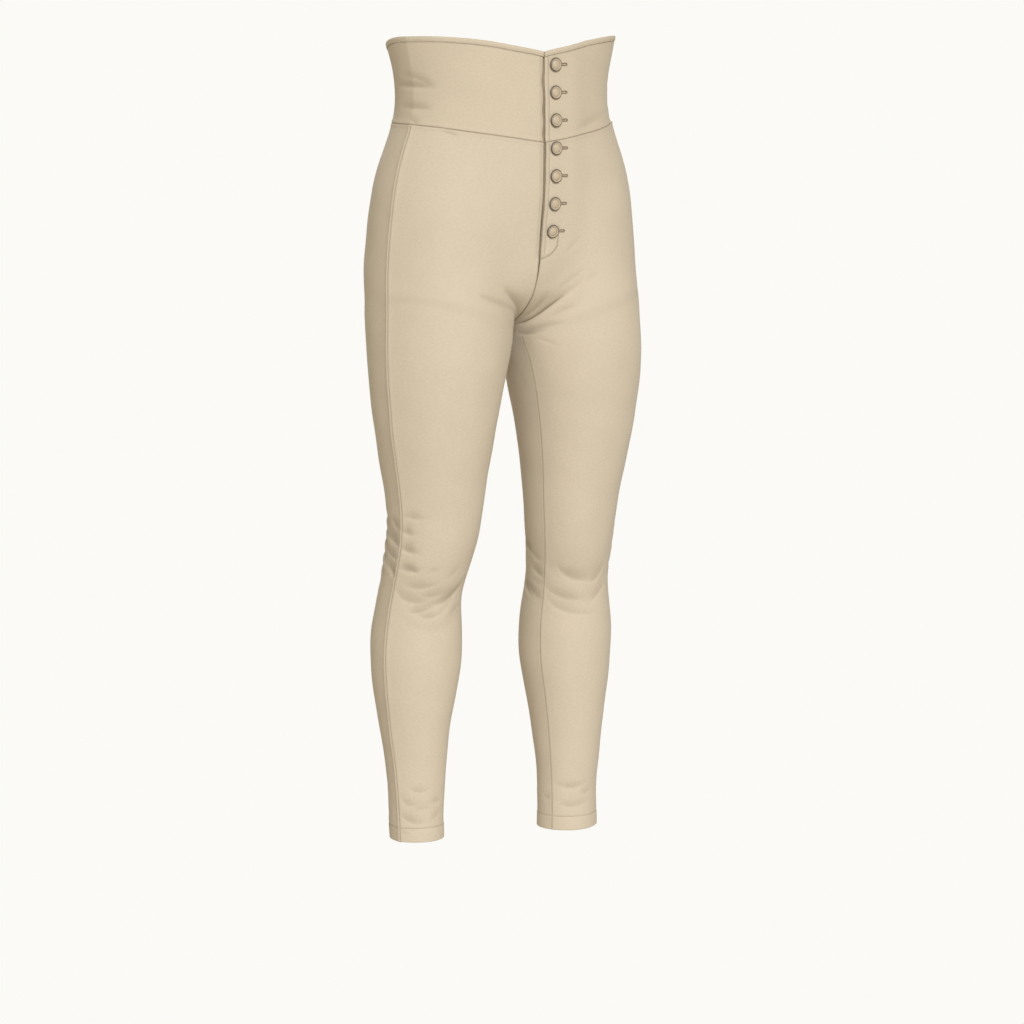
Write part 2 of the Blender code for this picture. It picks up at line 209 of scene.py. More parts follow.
TRUNK = (
    TrunkSection(0.095, 0.158, 0.106, 0.115),
    TrunkSection(0.075, 0.155, 0.106, 0.113),
    TrunkSection(0.045, 0.148, 0.1062, 0.108),
    TrunkSection(0, 0.143, 0.1072, 0.103),
    TrunkSection(-0.04, 0.151, 0.1082, 0.106),
    TrunkSection(-0.08, 0.165, 0.1078, 0.112),
    TrunkSection(-0.13, 0.1725, 0.1056, 0.118),
    TrunkSection(-0.18, 0.174, 0.098, 0.1185),
    TrunkSection(-0.22, 0.1675, 0.086, 0.11),
    TrunkSection(-0.255, 0.145, 0.066, 0.092),
    TrunkSection(-0.29, 0.11, 0.042, 0.065),
)
LEG = (
    LegSection(-0.06, 0.09, 0, 0.04, 0.05),
    LegSection(-0.12, 0.092, 0, 0.07, 0.086),
    LegSection(-0.18, 0.0925, 0.003, 0.083, 0.099),
    LegSection(-0.24, 0.0945, -0.0005, 0.0905, 0.101),
    LegSection(-0.29, 0.0975, -0.0055, 0.09, 0.099),
    LegSection(-0.33, 0.099, -0.009, 0.0885, 0.0935),
    LegSection(-0.38, 0.1015, -0.01, 0.082, 0.085),
    LegSection(-0.43, 0.1025, -0.009, 0.0745, 0.077),
    LegSection(-0.48, 0.1015, -0.006, 0.067, 0.0695),
    LegSection(-0.53, 0.1005, -0.002, 0.061, 0.063),
    LegSection(-0.58, 0.104, 0.007, 0.057, 0.0595),
    LegSection(-0.63, 0.1085, 0.021, 0.0545, 0.057),
    LegSection(-0.68, 0.1105, 0.0275, 0.0585, 0.061),
    LegSection(-0.73, 0.111, 0.029, 0.057, 0.0595),
    LegSection(-0.785, 0.113, 0.028, 0.0495, 0.052),
    LegSection(-0.835, 0.113, 0.027, 0.0418, 0.0444),
    LegSection(-0.886, 0.1125, 0.026, 0.0375, 0.0391),
    LegSection(-0.952, 0.112, 0.025, 0.0368, 0.0372),
)
RIM = (
    RimPoint(0, 0.0607, -0.052),
    RimPoint(9, 0.0641, -0.05),
    RimPoint(20, 0.0677, -0.0468),
    RimPoint(32, 0.0721, -0.0432),
    RimPoint(45, 0.076, -0.0393),
    RimPoint(57, 0.0784, -0.0354),
    RimPoint(66, 0.0794, -0.0328),
    RimPoint(76, 0.0794, -0.0311),
    RimPoint(87, 0.0784, -0.0299),
    RimPoint(114, 0.064, -0.0296),
    RimPoint(150, 0.0465, -0.03),
    RimPoint(180, 0.043, -0.03),
)
SEAM = (
    SeamPoint(-0.03, 11, 23),
    SeamPoint(-0.105, 12, 23),
    SeamPoint(-0.165, 16.5, 23),
    SeamPoint(-0.225, 20, 23),
    SeamPoint(-0.31, 19.2, 24),
    SeamPoint(-0.39, 19, 25),
    SeamPoint(-0.55, 22.8, 26),
    SeamPoint(-0.64, 23.2, 27.5),
    SeamPoint(-0.74, 22.8, 29),
    SeamPoint(-0.82, 22.8, 29.8),
    SeamPoint(-0.89, 26, 30.5),
    SeamPoint(-0.952, 28, 31),
)
# Largest folds of the legs, where the solids' are, but shallower, with a quarter of the creases' painted
# shade
FOLDS = {
    Side.RIGHT: (
        Crease(-50, -0.608, -3, -0.633, 44, -0.626, 0.011, -0.0016, 1, 0),
        Crease(-48, -0.64, 0, -0.666, 48, -0.656, 0.0115, -0.0014, 1, 0),
        Crease(72, -0.552, 92, -0.542, 112, -0.528, 0.01, -0.0014, 1, 0),
        Crease(76, -0.586, 97, -0.574, 118, -0.558, 0.011, -0.0016, 1, 0),
        Crease(-60, -0.288, -43, -0.277, -26, -0.258, 0.009, -0.001, 1, 0),
        Crease(122, -0.612, 177, -0.598, 232, -0.604, 0.0105, -0.0036, 1, 0),
        Crease(130, -0.574, 178, -0.585, 226, -0.58, 0.01, -0.0034, 1, 0),
    ),
    Side.LEFT: (
        Crease(-54, -0.602, -11, -0.618, 32, -0.598, 0.011, -0.0014, 1, 0),
        Crease(-60, -0.63, -11, -0.648, 38, -0.622, 0.0115, -0.0014, 1, 0),
        Crease(-62, -0.288, -40, -0.271, -18, -0.246, 0.01, -0.0014, 1, 0),
        Crease(120, -0.602, 178, -0.597, 236, -0.612, 0.0105, -0.0036, 1, 0),
        Crease(132, -0.58, 178, -0.583, 224, -0.57, 0.01, -0.0034, 1, 0),
    ),
}
RIGHT_LEG_CREASES = (
    # Outer side of the knee, behind the outer seam and in front of it
    Crease(75.1, -0.5404, 80.8, -0.5345, 91.7, -0.5254, 0.0057, -0.0014, 1.6, 0.16),
    Crease(72.9, -0.5605, 83.6, -0.5557, 99.3, -0.5496, 0.0062, -0.0018, 1.6, 0.16),
    Crease(72.2, -0.578, 82.3, -0.5753, 96.3, -0.5715, 0.0057, -0.0016, 1.6, 0.16),
    Crease(70.5, -0.6006, 80.1, -0.5936, 94.9, -0.5861, 0.0057, -0.0015, 1.6, 0.16),
    Crease(42.2, -0.524, 53.2, -0.5229, 65.4, -0.5213, 0.0052, -0.001, 1.6, 0.16),
    Crease(52.5, -0.5448, 60.7, -0.543, 69.6, -0.5392, 0.0057, -0.0015, 1.6, 0.18),
    Crease(46.8, -0.5691, 56.7, -0.5663, 67.4, -0.5623, 0.0062, -0.0018, 1.6, 0.18),
    Crease(39.9, -0.5923, 52.1, -0.5917, 65.7, -0.5881, 0.0057, -0.0015, 1.6, 0.18),
    Crease(100, -0.5393, 120, -0.5288, 146, -0.5233, 0.0055, -0.0018, 1.5, 0.2),
    Crease(102, -0.5533, 121, -0.5443, 144, -0.5383, 0.005, -0.002, 1.5, 0.2),
    Crease(100, -0.5693, 121, -0.5578, 146, -0.5503, 0.0055, -0.0022, 1.5, 0.2),
    Crease(98, -0.5883, 120, -0.5753, 150, -0.5673, 0.0055, -0.002, 1.5, 0.2),
    Crease(100, -0.6043, 122, -0.5913, 148, -0.5833, 0.005, -0.0014, 1.5, 0.2),
    # Front of the knee
    Crease(11.4, -0.6106, 32.1, -0.615, 51.5, -0.6115, 0.0052, -0.0011, 1.8, 0.06),
    Crease(21.9, -0.6325, 45, -0.6323, 64.3, -0.6175, 0.0052, -0.0011, 1.8, 0.06),
    Crease(-8.7, -0.6197, 13, -0.6264, 28.3, -0.6241, 0.0052, -0.001, 1.8, 0.06),
    Crease(-36.8, -0.612, -16.4, -0.6287, 6.1, -0.6376, 0.0057, -0.0017, 1.8, 0.08),
    Crease(6.1, -0.6376, 27, -0.6458, 40.7, -0.6461, 0.0052, -0.0011, 1.8, 0.06),
    Crease(-1.5, -0.6491, 14.7, -0.6538, 28.5, -0.6498, 0.005, -0.001, 1.8, 0.06),
    Crease(-19.9, -0.6311, -11.4, -0.6391, -1.5, -0.6491, 0.0043, -0.0006, 1.6, 0.06),
    Crease(-37.9, -0.6396, -25.7, -0.6479, -16.6, -0.6546, 0.0043, -0.0008, 1.6, 0.06),
    Crease(37, -0.5924, 47.1, -0.5923, 62, -0.5847, 0.005, -0.0009, 1.7, 0.06),
    Crease(70, -0.5997, 73.3, -0.598, 84.1, -0.587, 0.005, -0.0009, 1.7, 0.06),
    Crease(12.1, -0.5917, 19.7, -0.5924, 28.5, -0.5959, 0.0038, -0.0005, 1.6, 0.06),
    Crease(-16.2, -0.5889, -10.2, -0.5974, -3.7, -0.6029, 0.0043, -0.0006, 1.6, 0.06),
    # From the fork, and one under the waist seam
    Crease(-67.2, -0.2722, -20.1, -0.2493, -3.8, -0.2396, 0.0055, -0.001, 0.7, 0),
    Crease(-68, -0.27, -43.1, -0.25, -28.7, -0.2355, 0.005, -0.0017, 1.6, 0.1),
    Crease(-72, -0.2735, -62, -0.259, -54, -0.2455, 0.003, -0.0011, 1.3, 0.06),
    Crease(53.8, -0.0432, 58.2, -0.0404, 62.8, -0.0377, 0.0022, -0.0008, 1.2, 0.1),
    # Above the hem
    Crease(3.5, -0.8799, 23.9, -0.8828, 41, -0.877, 0.0045, -0.0008, 1.7, 0.06),
    Crease(26.9, -0.8976, 44.9, -0.8998, 61.1, -0.8883, 0.0045, -0.0008, 1.7, 0.06),
    Crease(-28.1, -0.8963, -13.1, -0.8979, 0.2, -0.8977, 0.0045, -0.0008, 1.7, 0.06),
    Crease(-3, -0.9067, 17.5, -0.9051, 34, -0.9087, 0.0045, -0.0005, 1.7, 0.06),
    Crease(12.2, -0.9242, 41.5, -0.9222, 61, -0.9122, 0.0048, -0.0011, 1.8, 0.08),
    Crease(-28.7, -0.9112, -15.3, -0.917, -2.9, -0.921, 0.0045, -0.0007, 1.7, 0.06),
    Crease(47.8, -0.939, 55.4, -0.9376, 63.6, -0.9345, 0.004, -0.0004, 1.6, 0.06),
    # Back and inner side of the knee
    Crease(150, -0.54, 176, -0.545, 198, -0.538, 0.005, -0.0011, 1.3, 0.2),
    Crease(240, -0.584, 256, -0.59, 276, -0.601, 0.007, -0.002, 1.5, 0.3),
    Crease(244, -0.615, 262, -0.622, 284, -0.633, 0.006, -0.0018, 1.5, 0.3),
)
LEFT_LEG_CREASES = (
    # Front of the knee
    Crease(-44.4, -0.6021, -26.8, -0.6172, 2.6, -0.623, 0.006, -0.0011, 1.9, 0.06),
    Crease(-59.2, -0.6326, -32.8, -0.6446, -8.7, -0.6468, 0.0057, -0.0011, 1.9, 0.06),
    Crease(5.4, -0.625, 18.5, -0.6195, 32.3, -0.6053, 0.0052, -0.0011, 1.8, 0.06),
    Crease(7.3, -0.6508, 19.9, -0.6422, 36, -0.632, 0.0048, -0.0009, 1.7, 0.06),
    Crease(-90.7, -0.6052, -76.8, -0.6138, -64.3, -0.6194, 0.0057, -0.0015, 1.8, 0.06),
    Crease(-95.2, -0.6309, -78.7, -0.6423, -65.6, -0.6487, 0.0052, -0.0012, 1.8, 0.06),
    Crease(-55.5, -0.6456, -32.3, -0.6611, 5.4, -0.6671, 0.0052, -0.001, 1.8, 0.06),
    Crease(-88.6, -0.59, -79.2, -0.5946, -70.5, -0.5965, 0.0048, -0.0009, 1.7, 0.06),
    Crease(-85.2, -0.6216, -74, -0.6272, -63.5, -0.6295, 0.0043, -0.0006, 1.6, 0.06),
    # From the fork
    Crease(-70, -0.2815, -47, -0.2615, -20, -0.2325, 0.006, -0.0014, 1.8, 0.08),
    Crease(-58, -0.2664, -49.1, -0.2526, -42.2, -0.2405, 0.0045, -0.0007, 1.3, 0.06),
    Crease(-63, -0.2917, -49, -0.2857, -35, -0.2815, 0.003, -0.0011, 1.5, 0.06),
    Crease(-74, -0.2971, -62, -0.2954, -47.7, -0.2895, 0.004, -0.0015, 1.6, 0.06),
    Crease(-56.7, -0.3016, -48, -0.3049, -40, -0.3111, 0.003, -0.0005, 1.3, 0.06),
    Crease(-89.2, -0.3333, -80.3, -0.3534, -74.6, -0.374, 0.0026, -0.0004, 1.2, 0.06),
    Crease(-38.3, -0.2407, -26.8, -0.2279, -15.1, -0.2152, 0.0035, -0.0006, 1.3, 0.06),
    Crease(-14, -0.2282, -8.3, -0.2226, -3.5, -0.2183, 0.003, -0.0004, 1.2, 0.06),
    Crease(-42.4, -0.2723, -32.5, -0.2642, -23.2, -0.2603, 0.0035, -0.0006, 1.3, 0.06),
    Crease(-23.7, -0.1908, -16.4, -0.1827, -8.9, -0.1751, 0.0043, -0.0004, 1.2, 0.06),
    # Above the hem
    Crease(-49.3, -0.8961, -20, -0.8995, 9.9, -0.8955, 0.005, -0.001, 1.5, 0.21),
    Crease(-81.7, -0.9125, -73, -0.916, -65.3, -0.9187, 0.0045, -0.0008, 1.5, 0.21),
    Crease(1, -0.9105, 16.1, -0.9082, 29.6, -0.9054, 0.0045, -0.0008, 1.5, 0.21),
    Crease(-41.4, -0.9207, -17.7, -0.9247, 19.8, -0.9193, 0.005, -0.0009, 1.5, 0.21),
    # Back, outer side and inner side of the knee
    Crease(134, -0.532, 158, -0.539, 186, -0.537, 0.005, -0.0013, 1.3, 0.2),
    Crease(76, -0.549, 94, -0.542, 114, -0.529, 0.007, -0.0019, 1.5, 0.3),
    Crease(70, -0.579, 92, -0.572, 116, -0.559, 0.007, -0.0022, 1.5, 0.3),
    Crease(66, -0.608, 88, -0.603, 112, -0.593, 0.006, -0.0018, 1.5, 0.3),
    Crease(240, -0.576, 254, -0.581, 268, -0.588, 0.007, -0.0019, 1.5, 0.3),
    Crease(242, -0.63, 260, -0.637, 280, -0.648, 0.006, -0.0016, 1.5, 0.3),
)
BOTH_LEGS_CREASES = (
    # Backs of the knees
    Crease(128, -0.633, 168, -0.62, 214, -0.627, 0.006, -0.002, 1.4, 0.3),
    Crease(140, -0.648, 176, -0.642, 210, -0.65, 0.005, -0.0014, 1.4, 0.3),
    Crease(142, -0.556, 180, -0.563, 214, -0.554, 0.006, -0.0018, 1.4, 0.3),
    Crease(158, -0.598, 186, -0.593, 232, -0.59, 0.005, -0.0016, 1.4, 0.3),
    # Under the seat
    Crease(126, -0.263, 160, -0.272, 206, -0.264, 0.009, -0.0019, 1.2, 0.2),
    Crease(150, -0.286, 182, -0.29, 222, -0.282, 0.008, -0.0015, 1.2, 0.2),
    Crease(214, -0.25, 240, -0.262, 262, -0.28, 0.007, -0.0015, 1.2, 0.2),
    # Backs of the ankles
    Crease(120, -0.88, 160, -0.885, 206, -0.879, 0.006, -0.0011, 1.3, 0.3),
    Crease(136, -0.901, 182, -0.898, 236, -0.904, 0.006, -0.0013, 1.3, 0.3),
    Crease(110, -0.916, 150, -0.919, 190, -0.915, 0.005, -0.001, 1.3, 0.3),
)
# The two tightest creases, at the left of the fork, with the darkest painted shade in their troughs
TIGHT_CREASES = (
    Crease(-76, -0.2843, -62, -0.2787, -47, -0.2643, 0.0019, -0.0018, 1.3, 0.06),
    Crease(-58, -0.276, -45.9, -0.2629, -33, -0.2477, 0.0019, -0.0018, 1.3, 0.06),
)
RIGHT_BAND_CREASES = (
    Crease(69, 0.0162, 78.6, 0.0173, 93.9, 0.0183, 0.005, -0.0016, 1.5, 0.4),
    Crease(69, 0.018, 77.6, 0.0282, 87.5, 0.0298, 0.0045, -0.001, 1.3, 0.3),
    Crease(69.9, -0.0097, 78.8, -0.0093, 90.2, -0.0075, 0.005, -0.0015, 1.5, 0.4),
    Crease(75.2, -0.0288, 78.4, -0.0266, 81.6, -0.0234, 0.004, -0.001, 1.3, 0.3),
)
LEFT_BAND_CREASES = (
    Crease(28.6, -0.0354, 39.4, -0.0283, 54.4, -0.0211, 0.006, -0.0007, 1.3, 0.3),
    Crease(72, 0.016, 82, 0.019, 95, 0.018, 0.005, -0.0012, 1.5, 0.4),
    Crease(70, -0.009, 80, -0.007, 92, -0.006, 0.005, -0.0011, 1.5, 0.4),
)
BOTH_BANDS_CREASES = (
    Crease(118, 0.01, 136, 0.006, 158, 0.008, 0.006, -0.0009, 1.4, 0.3),
    Crease(126, -0.013, 148, -0.017, 168, -0.015, 0.006, -0.0009, 1.4, 0.3),
)
LEG_CREASES = {
    Side.RIGHT: RIGHT_LEG_CREASES + BOTH_LEGS_CREASES,
    Side.LEFT: LEFT_LEG_CREASES + BOTH_LEGS_CREASES,
}
BAND_CREASES = {
    Side.RIGHT: RIGHT_BAND_CREASES + BOTH_BANDS_CREASES,
    Side.LEFT: LEFT_BAND_CREASES + BOTH_BANDS_CREASES,
}
WAVES = (
    Wave(9, 4, 6, 0.3, 0.00022),
    Wave(-5, 8, 11, 1.9, 0.00018),
    Wave(3, -6, 17, 4.1, 0.00014),
    Wave(13, 9, -8, 2.6, 0.00012),
)
TAPER = (
    Taper(-0.06, 0, 0),
    Taper(-0.1, 0, 0),
    Taper(-0.16, -0.001, -0.001),
    Taper(-0.25, -0.0014, -0.0008),
    Taper(-0.33, -0.0008, 0),
    Taper(-0.42, 0, -0.0004),
    Taper(-0.5, -0.0008, -0.002),
    Taper(-0.6, -0.0004, -0.0026),
    Taper(-0.66, -0.001, -0.0012),
    Taper(-0.72, -0.0003, 0.0004),
    Taper(-0.79, -0.0014, 0.0008),
    Taper(-0.855, -0.0012, 0.0012),
    Taper(-0.9, -0.0014, 0),
    Taper(-0.95, -0.0024, 0.0003),
)
FULLNESSES = (
    Fullness(0, -0.088, -0.222, 0.036, 0.0045),
    Fullness(0, -0.06, -0.268, 0.04, 0.007),
    Fullness(0.022, -0.052, -0.305, 0.028, 0.0032),
)
SWAYS = (
    Sway(0.0346, 0.6, 0.00035),
    Sway(0.071, 2, 0.00021),
)
ROW_RUNS = (
    RowRun(-0.0306, 0.0002),
    RowRun(-0.0326, 0.0005),
    RowRun(-0.0366, 0.001),
    RowRun(-0.13, 0.0042),
    RowRun(-0.156, 0.0022),
    RowRun(-0.2, 0.0011),
    RowRun(-0.24, 0.0022),
    RowRun(-0.3, 0.0013),
    RowRun(-0.5, 0.0045),
    RowRun(-0.675, 0.0018),
    RowRun(-0.86, 0.0045),
    RowRun(-0.928, 0.0022),
    RowRun(-0.9325, 0.0005),
    RowRun(-0.947, 0.0018),
    RowRun(-0.9495, 0.0003),
)
FLY_STITCH = (
    Point(0.001, -0.1966),
    Point(0.0072, -0.1954),
    Point(0.0142, -0.1926),
    Point(0.02, -0.188),
    Point(0.0236, -0.1824),
    Point(0.0243, -0.1752),
    Point(0.0241, -0.1672),
    Point(0.024, -0.158),
)
# Last column: painted shade, full under the button and as a ring round its rim, lighter in its turned groove
BUTTON_OUTLINE = (
    Turning(0.28, 0, 1),
    Turning(0.32, 0.0007, 1),
    Turning(0.6, 0.0008, 1),
    Turning(0.92, 0.0009, 1),
    Turning(0.985, 0.0012, 1),
    Turning(1, 0.0017, 1),
    Turning(0.99, 0.0021, 1),
    Turning(0.965, 0.0024, 1),
    Turning(0.93, 0.0026, 1),
    Turning(0.9, 0.0027, 1),
    Turning(0.86, 0.0027, 1),
    Turning(0.82, 0.0027, 0.15),
    Turning(0.78, 0.0026, 0),
    Turning(0.73, 0.0024, 0),
    Turning(0.67, 0.0022, 0.4),
    Turning(0.61, 0.0022, 0.4),
    Turning(0.54, 0.0026, 0.05),
    Turning(0.4, 0.0031, 0),
    Turning(0.22, 0.0034, 0),
    Turning(0.08, 0.0035, 0),
)
# Distances of the columns in from a panel's edge, from the lap's edge and from a binding's end
EDGE_STEPS = np.array((0, 0.1, 0.3, 0.6, 1.0, 1.6, 2.4, 3.4, 4.6, 5.2, 5.8, 6.4, 7.4, 9.0)) / 1000
LAP_STEPS = np.concatenate((EDGE_STEPS, np.arange(0.010, 0.0305, 0.0008)))
END_STEPS = np.array((0, 0.2, 0.5, 0.9, 1.6, 2.6, 4.0)) / 1000


def ease(t: Array) -> Array:
    """0 to 1 with level ends: three squares less two cubes."""
    t = np.clip(t, 0, 1)
    return t * t * (3 - 2 * t)


def bump(distance: Array, centre: float, width: float) -> Array:
    """A bell of height 1: e to minus the square of the distance from its centre in widths."""
    return np.exp(-(((distance - centre) / width) ** 2))


def unit(vectors: Array) -> Array:
    """The same directions, at length 1."""
    return vectors / np.linalg.norm(vectors, axis=-1, keepdims=True)


def full_turn(count: int) -> Array:
    """Even angles once round, the last a step short of the first."""
    return np.linspace(0, 2 * np.pi, count, endpoint=False)


def lengths(points: Array, axis: int) -> Array:
    """Distance run along one axis of a grid of points, from its first row or column."""
    steps = np.linalg.norm(np.diff(points, axis=axis), axis=-1)
    return np.concatenate((0 * np.take(steps, [0], axis=axis), np.cumsum(steps, axis=axis)), axis=axis)


def along(values: Array, run: Array, at: Array) -> Array:
    """Rows of values, each column read at distances along the run that the rows lie at."""
    return np.stack([np.interp(at, run, column) for column in values.T], -1)


def bearing(angle: Array, elevation: Array) -> Array:
    """Unit vectors: angle from straight ahead (-Y) towards +X, elevation up; radians."""
    flat = np.cos(elevation)
    return np.stack((np.sin(angle) * flat, -np.cos(angle) * flat, np.sin(elevation) + 0 * angle), -1)


def mirrored(points: Array, side: Side) -> Array:
    """The left half's points, or the right half's."""
    return points * np.array([side.value, 1, 1])


def closing_in(distance: Array, radius: Array) -> Array:
    """How far a rounded edge draws in at a distance from the rim: a quarter circle."""
    missing = np.clip(radius - distance, 0, radius)
    return radius - np.sqrt(radius**2 - missing**2)


class Splines:
    """Natural cubic curves through the columns of a table, read at its first column's values."""

    def __init__(self, table: Sequence[tuple]) -> None:
        """Solves the curvature at every row.

        Args:
            table: rows of numbers, the first of each the place and the rest the values.
        """
        rows = np.array(sorted(table), dtype=float)
        self.at = rows[:, 0]
        self.values = rows[:, 1:]
        self.step = np.diff(self.at)
        slope = np.diff(self.values, axis=0) / self.step[:, None]
        inner = np.arange(1, len(rows) - 1)
        system = np.eye(len(rows))
        system[inner, inner - 1] = self.step[:-1]
        system[inner, inner] = 2 * (self.step[:-1] + self.step[1:])
        system[inner, inner + 1] = self.step[1:]
        right = np.zeros_like(self.values)
        right[1:-1] = 6 * np.diff(slope, axis=0)
        self.bend = np.linalg.solve(system, right)

    def __call__(self, at: Array) -> Array:
        """Values of every column, in a last axis of their own.

        Args:
            at: places, held to the table's ends.

        Returns:
            Array of the places' shape with one more axis for the columns.
        """
        at = np.clip(at, self.at[0], self.at[-1])
        i = np.clip(np.searchsorted(self.at, at) - 1, 0, len(self.at) - 2)
        step = self.step[i]
        a = ((self.at[i + 1] - at) / step)[..., None]
        b = 1 - a
        cubic = (a**3 - a) * self.bend[i] + (b**3 - b) * self.bend[i + 1]
        return a * self.values[i] + b * self.values[i + 1] + cubic * step[..., None] ** 2 / 6


@dataclass
class Form:
    """The garment's outer form, and the lines of the cut on it, all on its left half."""

    blend: float = 0.045
    trunk_fade: float = -0.235
    trunk_fade_rate: float = 30.0
    leg_fade_rate: float = 0.5
    cast_steps: int = 52
    cast_reach: float = 0.26
    cast_halvings: int = 18
    slope_step: float = 0.0006
    small: float = 1e-9
    top_level: float = -0.0300
    first_level_row: float = -0.1300
    fork_level: float = -0.2400
    fan_height: float = -0.1300
    fork_ahead: float = 0.0080
    fork_drop: float = 0.1600
    inseam_settles: float = 0.1100
    inseam_swings: float = 0.0130
    tilt_rate: float = 1.15
    seam_gap: float = 0.0001
    coarse_columns: int = 61
    row_shift: float = 10.0
    route_points: int = 13
    trunk: Splines = field(default_factory=lambda: Splines(TRUNK))
    leg: Splines = field(default_factory=lambda: Splines(LEG))
    rim: Splines = field(default_factory=lambda: Splines(RIM))
    seam: Splines = field(default_factory=lambda: Splines(SEAM))

    def joined(self, p: Array, q: Array) -> Array:
        """The smaller of two distances, rounded off where they are within the blend."""
        h = np.maximum(self.blend - np.abs(p - q), 0) / self.blend
        return np.minimum(p, q) - h**3 * self.blend / 6

    def distance(self, points: Array) -> Array:
        """Distance-like value: negative inside the form, zero on the cloth.

        Each section's value is how far a point's elliptical reach passes 1, times the
        section's mean size. The trunk's is faded out below its end by a square, the
        legs' above theirs by a slope, and the three are joined.

        Args:
            points: places, in a last axis of three.

        Returns:
            One value for each.
        """
        x, y, z = np.moveaxis(points, -1, 0)
        half_width, front, back = np.moveaxis(self.trunk(z), -1, 0)
        depth = np.where(y < 0, front, back)
        reach = np.sqrt((x / half_width) ** 2 + (y / depth) ** 2)
        below = np.maximum(self.trunk_fade - z, 0)
        value = (reach - 1) * np.sqrt(half_width * (front + back) / 2)
        value = value + self.trunk_fade_rate * below**2
        centre_x, centre_y, half_width, depth = np.moveaxis(self.leg(z), -1, 0)
        above = self.leg_fade_rate * np.maximum(z - self.leg.at[-1], 0)
        for side in (-1, 1):
            reach = np.sqrt(((x - side * centre_x) / half_width) ** 2 + ((y - centre_y) / depth) ** 2)
            value = self.joined(value, (reach - 1) * np.sqrt(half_width * depth) + above)
        return value

    def outside_half(self, points: Array) -> Array:
        """True where a point is off the form or past the middle plane."""
        return (self.distance(points) > 0) | (points[..., 0] < -self.small)

    def cast(self, origin: Array, direction: Array) -> Array:
        """First points where rays leave the left half of the form, by steps, then halving.

        Args:
            origin: where each ray starts.
            direction: its unit vector.

        Returns:
            The points, in the shape of both.
        """
        origin, direction = np.broadcast_arrays(origin, direction)
        low = np.zeros(origin.shape[:-1])
        found = np.zeros(origin.shape[:-1], bool)
        stride = self.cast_reach / self.cast_steps
        for step in range(1, self.cast_steps + 1):
            found |= self.outside_half(origin + step * stride * direction)
            low = np.where(found, low, step * stride)
        high = low + stride
        for _ in range(self.cast_halvings):
            middle = (low + high) / 2
            outside = self.outside_half(origin + middle[..., None] * direction)
            high = np.where(outside, middle, high)
            low = np.where(outside, low, middle)
        return origin + high[..., None] * direction

    def normals(self, points: Array) -> Array:
        """Outward unit vectors: the slope of the form's value."""
        slope = [self.distance(points + d) - self.distance(points - d) for d in self.slope_step * np.eye(3)]
        return unit(np.stack(slope, -1))

    def fan_centres(self, levels: Array) -> Array:
        """Points inside the half, from the middle at the waist to the leg's own middle.

        Args:
            levels: their heights.

        Returns:
            The points: the leg's centres times a share that eases from 0 to 1.
        """
        share = ease((levels - self.top_level) / (self.fork_level - self.top_level))
        leg = self.leg(levels)
        return np.stack((leg[..., 0] * share, leg[..., 1] * share, levels), -1)

    def centre_curve(self, levels: Array, face: Face) -> Array:
        """Points of the centre front or back seam, in the middle plane.

        Args:
            levels: heights of the rows at the outer seam.
            face: front or back.

        Returns:
            One point for each level: level with it, then on rays that fan down to the fork.
        """
        share = np.clip((levels - self.fan_height) / (self.fork_level - self.fan_height), 0, 1)
        way = 1 if face is Face.BACK else -1
        angle = np.arctan2(self.fork_drop, -way * self.fork_ahead) * share
        zero = 0 * angle
        origin = np.stack((zero, zero, np.maximum(levels, self.fan_height)), -1)
        return self.cast(origin, np.stack((zero, way * np.cos(angle), -np.sin(angle)), -1))

    def seam_ends(self, levels: Array, face: Face) -> tuple[Array, Array]:
        """Direction of a panel's inner edge from the fan centres.

        Args:
            levels: heights of the rows.
            face: front or back.

        Returns:
            Angles and elevations: towards the centre seam down to the fork, and below it
            swinging round to the inner leg seam.
        """
        levels = np.append(levels, self.fork_level)
        towards = self.centre_curve(levels, face) - self.fan_centres(levels)
        angle = np.arctan2(towards[:, 0], -towards[:, 1])
        elevation = np.arctan2(towards[:, 2], np.hypot(towards[:, 0], towards[:, 1]))
        below = levels < self.fork_level - self.small
        swing = ease((self.fork_level - levels) / self.inseam_swings)
        settle = ease((self.fork_level - levels) / self.inseam_settles)
        turn = np.radians(self.seam(levels)[:, 1] - 90)
        angle = np.where(below, angle[-1] + (turn - angle[-1]) * swing, angle)
        elevation = np.where(below, elevation[-1] * (1 - settle), elevation)
        if face is Face.BACK:
            angle = np.where(angle < 0, angle + 2 * np.pi, angle)
        return angle[:-1], elevation[:-1]

    def panel_points(self, levels: Array, share: Array, face: Face) -> Array:
        """Grid of points of one half's front or back.

        Args:
            levels: heights of the rows at the outer seam.
            share: share of the way from the inner to the outer edge, a column each.
            face: front or back.

        Returns:
            Points, rows down and columns outwards.
        """
        inner_angle, inner_elevation = self.seam_ends(levels, face)
        outer_angle = np.radians(90 - self.seam(levels)[:, 0])
        angle = inner_angle[:, None] + (outer_angle - inner_angle)[:, None] * share
        elevation = inner_elevation[:, None] * (1 - ease(share * self.tilt_rate))
        dip = self.rim(np.degrees(np.abs(angle)))[..., 1] - self.top_level
        fade = ease((self.top_level - levels) / (self.top_level - self.first_level_row))
        origin = np.broadcast_to(self.fan_centres(levels)[:, None], angle.shape + (3,)).copy()
        origin[..., 2] += dip * (1 - fade)[:, None]
        return self.cast(origin, bearing(angle, elevation))

